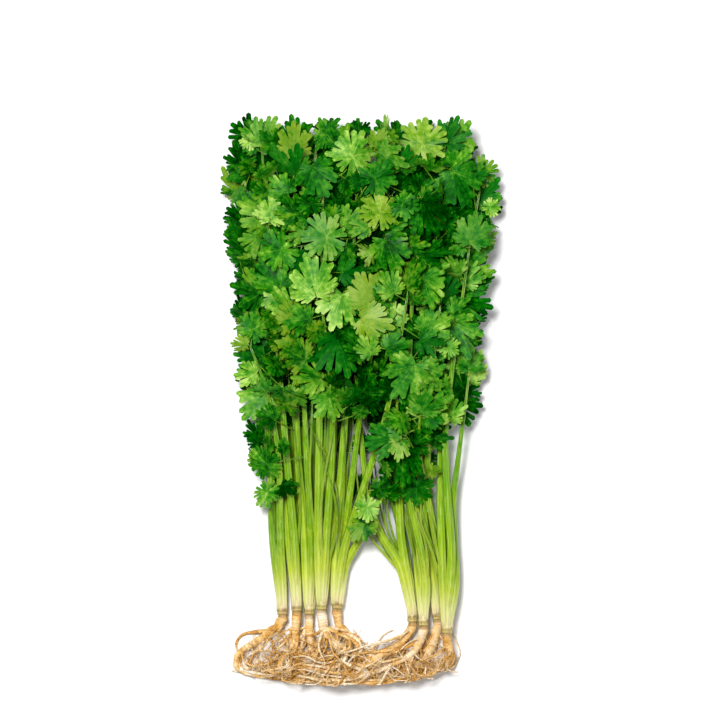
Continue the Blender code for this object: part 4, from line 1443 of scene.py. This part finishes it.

# %% [markdown]
# ## Leaf material
# Leaves on top of the bunch are a bright yellow green and those deep inside a dark blue green, painted shade
# where little light reaches them. One material for each shade would do, but a tone that each leaflet carries on
# its faces lets one material pick its colour from a ramp. Clouds and veins shift that tone a little, and the
# crinkles between the teeth get painted light and shade. A second value of each leaflet makes it more yellow or
# more blue. The underside is paler. A fresh leaf has a satin gloss, uneven because its surface is wrinkled, and
# dark leaves inside the bunch shine least.

# %% Helpers for materials
def ramp(tree, value, stops):
    """A colour read from a row of stops."""
    node = tree.nodes.new("ShaderNodeValToRGB")
    line = node.color_ramp
    while len(line.elements) < len(stops):
        line.elements.new(0.5)
    for element, (place, colour) in zip(line.elements, stops):
        element.position = place
        element.color = (*colour, 1)
    tree.links.new(value, node.inputs["Fac"])
    return node.outputs["Color"]


def mix(tree, share, first, second):
    """A colour and a share of another one, which is a socket or a tuple."""
    node = tree.nodes.new("ShaderNodeMix")
    node.data_type = "RGBA"
    tree.links.new(share, node.inputs[0])
    tree.links.new(first, node.inputs[6])
    if isinstance(second, tuple):
        node.inputs[7].default_value = (*second, 1)
    else:
        tree.links.new(second, node.inputs[7])
    return node.outputs[2]


def swing(tree, tone, value, amount):
    """A tone that follows a cloudy value up and down from its middle."""
    return maths(tree, "ADD", tone, product(tree, maths(tree, "SUBTRACT", value, 0.5), amount))


def reading(tree, name):
    """A value that the mesh carries on its faces or points."""
    node = tree.nodes.new("ShaderNodeAttribute")
    node.attribute_name = name
    return node.outputs["Fac"]


def placed_group(tree, group, place, **numbers):
    """The outputs of a shader group, placed in a material with its own values."""
    node = tree.nodes.new("ShaderNodeGroup")
    node.node_tree = group
    tree.links.new(place, node.inputs["Place"])
    for key, number in numbers.items():
        node.inputs[key.replace("_", " ")].default_value = number
    return node.outputs


def new_material(name):
    """A material with its node tree and its one shader."""
    material = bpy.data.materials.new(name)
    material.use_nodes = True
    tree = material.node_tree
    return material, tree, tree.nodes["Principled BSDF"]


def bumped(tree, shader, height, strength, distance):
    """Fine relief that only the light sees."""
    bump = tree.nodes.new("ShaderNodeBump")
    bump.inputs["Strength"].default_value = strength
    bump.inputs["Distance"].default_value = distance
    tree.links.new(height, bump.inputs["Height"])
    tree.links.new(bump.outputs["Normal"], shader.inputs["Normal"])


def juicy(shader, weight, radius, scale):
    """Light that goes into the skin and comes out again near by."""
    shader.inputs["Subsurface Weight"].default_value = weight
    shader.inputs["Subsurface Radius"].default_value = radius
    shader.inputs["Subsurface Scale"].default_value = scale


# %% Leaf material
# Colours for the tone: the dark greens at its low end are painted shade deep in the bunch, the yellow greens at
# its top the leaves in front
LEAF_TONES_AND_SHADE = [(0.0, (0.0002, 0.018, 0.0001)), (0.25, (0.0007, 0.066, 0.0003)), (0.46, (0.008, 0.15, 0.0007)),
              (0.68, (0.06, 0.25, 0.003)), (0.88, (0.19, 0.41, 0.025)), (1.0, (0.36, 0.56, 0.10))]
WARM_LEAF, COOL_LEAF = (0.16, 0.24, 0.003), (0.001, 0.12, 0.004)
PALE_UNDERSIDE = (0.10, 0.26, 0.03)
LEAF_SPECULAR = 0.15


def leaf_colour(tree, veins, cloud):
    """The colour of a leaflet from its own tone, darkened by painted shade deep in the bunch, its hue, its
    clouds and its veins.
    """
    tone = reading(tree, "tone")
    for value, amount in ((cloud["Broad"], 0.75), (cloud["Fine"], 0.95), (veins["Reach"], 0.14)):
        tone = swing(tree, tone, value, amount)
    # Veins are paler. Each tooth is lighter along its middle and darker along the creases between teeth:
    # painted light and shade of the crinkles
    for value, amount in ((veins["Fine"], 0.08), (veins["Main"], 0.18), (veins["Puff"], 0.04)):
        tone = maths(tree, "MULTIPLY_ADD", value, amount, tone)
    tone = maths(tree, "SUBTRACT", tone, 0.02)
    warm = reading(tree, "warm")
    lit = opposite(tree, smooth(tree, tone, 0.35, 0.75))
    yellow = product(tree, opposite(tree, smooth(tree, warm, 0.55, 1.0)), product(tree, lit, 0.7))
    colour = ramp(tree, tone, LEAF_TONES_AND_SHADE)
    colour = mix(tree, product(tree, smooth(tree, warm, 0.0, 0.35), 0.5), colour, COOL_LEAF)
    colour = mix(tree, yellow, colour, WARM_LEAF)
    pale = mix(tree, product(tree, lit, 0.25), colour, PALE_UNDERSIDE)
    return mix(tree, reading(tree, "upper"), pale, colour)


def leaf_material():
    """Satin blades with raised clouds and sunken veins, glossier on top of the bunch and darkened by painted
    shade deep inside it.
    """
    material, tree, shader = new_material("leaf_blade")
    uv = tree.nodes.new("ShaderNodeUVMap")
    uv.uv_map = "blade_place"
    own = tree.nodes.new("ShaderNodeTexCoord").outputs["Object"]
    veins = placed_group(tree, vein_group, uv.outputs["UV"])
    cloud = placed_group(tree, mottling, own, Broad_Scale=110.0, Fine_Scale=420.0)
    tree.links.new(leaf_colour(tree, veins, cloud), shader.inputs["Base Color"])
    rough = maths(tree, "MULTIPLY_ADD", cloud["Fine"], 0.30, 0.32)
    tree.links.new(rough, shader.inputs["Roughness"])
    height = product(tree, veins["Main"], -1.0)
    for value, amount in ((veins["Fine"], -0.6), (veins["Puff"], 0.2), (cloud["Fine"], 1.2)):
        height = maths(tree, "MULTIPLY_ADD", value, amount, height)
    bumped(tree, shader, height, 0.45, 0.0004)
    # A file format that can't hold the link keeps the socket's own number, which suits the leaves in front
    shader.inputs["Specular IOR Level"].default_value = LEAF_SPECULAR
    shine = maths(tree, "MULTIPLY_ADD", reading(tree, "tone"), 0.30, -0.04)
    tree.links.new(shine, shader.inputs["Specular IOR Level"])
    juicy(shader, 0.08, (0.5, 1.0, 0.2), 0.001)
    return material


# %% [markdown]
# ## Stem material
# Fresh stems are juicy and glossy. They are cream with a pink tinge at the crown, where brown rings mark
# the soil line, then whitish green, and a clear yellow green higher up, darkening inside the head as painted
# shade under the leaves. A gradient along Y would give that only for straight stems, so the colour follows the
# distance from the crown that each ring remembers. Ribs run along a stem, with painted shade in their furrows,
# and so do fine streaks and pale threads, the threads painted highlights: the noise is stretched along Y, the
# way the stems run. Each stem's tone makes it deeper or lighter than its neighbours, painted shade for stems
# deep in the bunch and painted light for those in front, with a random part.

# %% Stem material
LONGEST_REACH = 220
# The colour by distance from the crown: brown rings, cream, whitish and yellow green; the darkening from 0.42
# on, inside the head, is painted shade under the leaves
STEM_COLOURS_AND_SHADE = [(0.0, (0.40, 0.20, 0.06)), (0.003, (0.07, 0.028, 0.008)), (0.0065, (0.09, 0.035, 0.01)),
                (0.011, (0.62, 0.42, 0.20)), (0.0165, (0.22, 0.11, 0.03)), (0.022, (0.72, 0.58, 0.34)),
                (0.05, (0.64, 0.62, 0.27)), (0.11, (0.48, 0.54, 0.05)), (0.22, (0.31, 0.45, 0.006)),
                (0.42, (0.16, 0.36, 0.002)), (0.66, (0.06, 0.23, 0.001)), (1.0, (0.02, 0.14, 0.001))]
# Painted shade for stems deep in the bunch and painted light for stems on top, picked by each stem's tone
SHADED_STEM, LIT_STEM = (0.045, 0.20, 0.0015), (0.56, 0.66, 0.08)
# The furrows between a stem's ribs are painted darker, painted shade; the streaks are lighter green stripes of
# the skin
FURROW_SHADE, STREAK = (0.13, 0.31, 0.004), (0.40, 0.55, 0.02)
# Pale threads along the stems are painted highlights; the green clouds are mottling of the skin
HIGHLIGHT_THREAD, GREEN_CLOUD = (0.66, 0.74, 0.26), (0.08, 0.26, 0.002)


def stem_colour(tree, streaks, cloud):
    """The colour along a stem. What makes it greener fades out towards the pale crown."""
    reach = product(tree, reading(tree, "reach"), 1 / LONGEST_REACH)
    green = opposite(tree, smooth(tree, reach, 0.02, 0.20))
    depth_shade = product(tree, maths(tree, "SUBTRACT", reading(tree, "tone"), 0.3), 1.3)
    top_light = product(tree, smooth(tree, reading(tree, "tone"), 0.05, 0.4), 0.35)
    furrow_shade = product(tree, smooth(tree, reading(tree, "rib"), 0.1, 0.7), 0.5)
    highlight_thread = opposite(tree, smooth(tree, streaks["Fine"], 0.52, 0.62))
    cloudy = product(tree, smooth(tree, cloud["Broad"], 0.35, 0.6), 0.35)
    colour = ramp(tree, reach, STEM_COLOURS_AND_SHADE)
    colour = mix(tree, product(tree, depth_shade, green), colour, SHADED_STEM)
    colour = mix(tree, product(tree, top_light, smooth(tree, reach, 0.35, 0.6)), colour, LIT_STEM)
    colour = mix(tree, product(tree, furrow_shade, green), colour, FURROW_SHADE)
    colour = mix(tree, product(tree, smooth(tree, streaks["Broad"], 0.35, 0.55), 0.3), colour, STREAK)
    colour = mix(tree, product(tree, highlight_thread, 0.22), colour, HIGHLIGHT_THREAD)
    return mix(tree, product(tree, cloudy, green), colour, GREEN_CLOUD)


def stem_material():
    """A juicy, glossy skin with ribs and streaks."""
    material, tree, shader = new_material("stem_skin")
    own = tree.nodes.new("ShaderNodeTexCoord").outputs["Object"]
    stretch = tree.nodes.new("ShaderNodeMapping")
    stretch.inputs["Scale"].default_value = (1.0, 0.03, 1.0)
    tree.links.new(own, stretch.inputs["Vector"])
    streaks = placed_group(tree, mottling, stretch.outputs["Vector"], Broad_Scale=500.0, Fine_Scale=1600.0)
    cloud = placed_group(tree, mottling, own, Broad_Scale=60.0, Fine_Scale=400.0)
    tree.links.new(stem_colour(tree, streaks, cloud), shader.inputs["Base Color"])
    tree.links.new(maths(tree, "MULTIPLY_ADD", streaks["Fine"], 0.25, 0.16), shader.inputs["Roughness"])
    bumped(tree, shader, maths(tree, "ADD", streaks["Broad"], reading(tree, "rib")), 0.8, 0.0004)
    shader.inputs["Specular IOR Level"].default_value = 0.5
    juicy(shader, 0.15, (1.0, 1.0, 0.3), 0.0015)
    return material


# %% [markdown]
# ## Root material
# Washed roots are tan, with paler new growth, darker stains and a brown collar below the crown. They are
# dull, and their skin is wrinkled across, with painted shade in the wrinkles. The wrinkles could be modelled as
# rings, but on roots this thin a noise along their length is enough, and it never shows where two roots cross.
# Each root's tone picks how light or brown it is.

# %% Root material
ROOT_TONES = [(0.0, (0.20, 0.07, 0.006)), (0.3, (0.58, 0.28, 0.045)), (0.55, (0.88, 0.56, 0.21)),
              (0.8, (0.95, 0.77, 0.51)), (1.0, (0.96, 0.88, 0.73))]
CREASE_SHADE, COLLAR = (0.34, 0.15, 0.025), (0.20, 0.10, 0.03)


def wrinkles_across(tree):
    """1 in the wrinkles of a root. The noise runs along it, and each root's tone shifts it."""
    along = tree.nodes.new("ShaderNodeCombineXYZ")
    tree.links.new(reading(tree, "reach"), along.inputs["X"])
    tree.links.new(product(tree, reading(tree, "tone"), 90.0), along.inputs["Y"])
    noise = tree.nodes.new("ShaderNodeTexNoise")
    noise.inputs["Scale"].default_value = 2.4
    noise.inputs["Detail"].default_value = 2.0
    tree.links.new(along.outputs["Vector"], noise.inputs["Vector"])
    return smooth(tree, noise.outputs["Fac"], 0.34, 0.52)


def root_material():
    """A dull tan skin with wrinkles across."""
    material, tree, shader = new_material("root_skin")
    own = tree.nodes.new("ShaderNodeTexCoord").outputs["Object"]
    cloud = placed_group(tree, mottling, own, Broad_Scale=130.0, Fine_Scale=900.0)
    tone = maths(tree, "MULTIPLY_ADD", reading(tree, "tone"), 0.6, 0.27)
    tone = swing(tree, tone, cloud["Broad"], 1.1)
    tone = swing(tree, tone, cloud["Fine"], 0.7)
    crease = wrinkles_across(tree)
    collar = smooth(tree, reading(tree, "reach"), 0.8, 4.5)
    colour = ramp(tree, tone, ROOT_TONES)
    # The wrinkles are painted darker: painted shade in the creases
    colour = mix(tree, product(tree, crease, 0.3), colour, CREASE_SHADE)
    colour = mix(tree, product(tree, collar, 0.65), colour, COLLAR)
    tree.links.new(colour, shader.inputs["Base Color"])
    shader.inputs["Roughness"].default_value = 0.55
    shader.inputs["Specular IOR Level"].default_value = 0.2
    bumped(tree, shader, maths(tree, "MULTIPLY_ADD", crease, -0.8, cloud["Fine"]), 0.8, 0.0005)
    return material


# %% [markdown]
# ## Finish and place
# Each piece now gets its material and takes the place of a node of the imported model: leaves and stems
# together that of the green part of their plant, and the root strands that of its root. Nothing moves, so
# all pieces ride on the one body.

# %% Give every piece its finish and its place in the frame
finishes = {"leaves": leaf_material(), "stems": stem_material(), "roots": root_material()}
for name in names:
    for item, finish, node, slot in ((leaves[name], "leaves", "_greens", "leaf_and_stem"),
                                     (shoots[name], "stems", "_greens", "leaf_and_stem"),
                                     (root_objects[name], "roots", "_roots", "root")):
        item.data.materials.clear()
        item.data.materials.append(finishes[finish])
        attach(item, "root")
        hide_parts(name + node)
print("pieces:", len(names) * 3)

# %% [markdown]
# ## Table, light and camera
# The bunch lies on a plain pale table. One strong soft lamp stands above the left shoulder of the bunch and
# gives its leaves form, and a wide weak one fills the shadows from the right. A picture of a sky could
# light it too, but lamps are easier to aim. The camera looks straight down with a long lens from far away,
# so that the stems stay parallel.

# %% Table
TABLE_WHITE = 0.86
nothing_selected()
bpy.ops.mesh.primitive_plane_add(size=6.0, location=(0, 0, 0))
table = bpy.context.object
table.name = "table_top"
table_paint, tree, shader = new_material("pale_table")
shader.inputs["Base Color"].default_value = (TABLE_WHITE, TABLE_WHITE, TABLE_WHITE, 1)
shader.inputs["Roughness"].default_value = 0.9
table.data.materials.append(table_paint)
print("table:", tuple(round(side, 2) for side in table.dimensions))

# %% Lamps
BUNCH_MIDDLE = (0.0, 0.0, 0.02)
WORLD_LIGHT = 0.12


def soft_lamp(name, place, size, power):
    """A square lamp turned towards the middle of the bunch."""
    lamp = bpy.data.lights.new(name, "AREA")
    lamp.size = size
    lamp.energy = power
    item = place_object(bpy.data.objects.new(name, lamp))
    item.location = place
    towards = np.array(BUNCH_MIDDLE) - np.array(place)
    item.rotation_euler = (math.atan2(math.hypot(towards[0], towards[1]), -towards[2]), 0,
                           math.atan2(-towards[0], towards[1]))
    return item


lamps = [soft_lamp("key_lamp", (-0.35, 0.45, 1.85), 0.5, 50),
         soft_lamp("fill_lamp", (0.8, -0.5, 1.6), 1.2, 9)]
world = bpy.data.worlds.new("studio")
world.use_nodes = True
world.node_tree.nodes["Background"].inputs["Color"].default_value = (1, 1, 1, 1)
world.node_tree.nodes["Background"].inputs["Strength"].default_value = WORLD_LIGHT
bpy.context.scene.world = world
bpy.context.scene.view_settings.view_transform = "Standard"
print("lamps:", [(lamp.name, lamp.data.energy) for lamp in lamps])

# %% Camera
PICTURE_WIDTH = 0.396
CAMERA_HEIGHT = 2.5
SENSOR = 36.0
camera = bpy.data.cameras.new("camera")
camera.sensor_width = SENSOR
camera.lens = SENSOR * (CAMERA_HEIGHT - BUNCH_MIDDLE[2]) / PICTURE_WIDTH
view = place_object(bpy.data.objects.new("camera", camera))
view.location = (-0.0014, 0.0225, CAMERA_HEIGHT)
bpy.context.scene.camera = view
print("lens in mm:", round(camera.lens, 1))
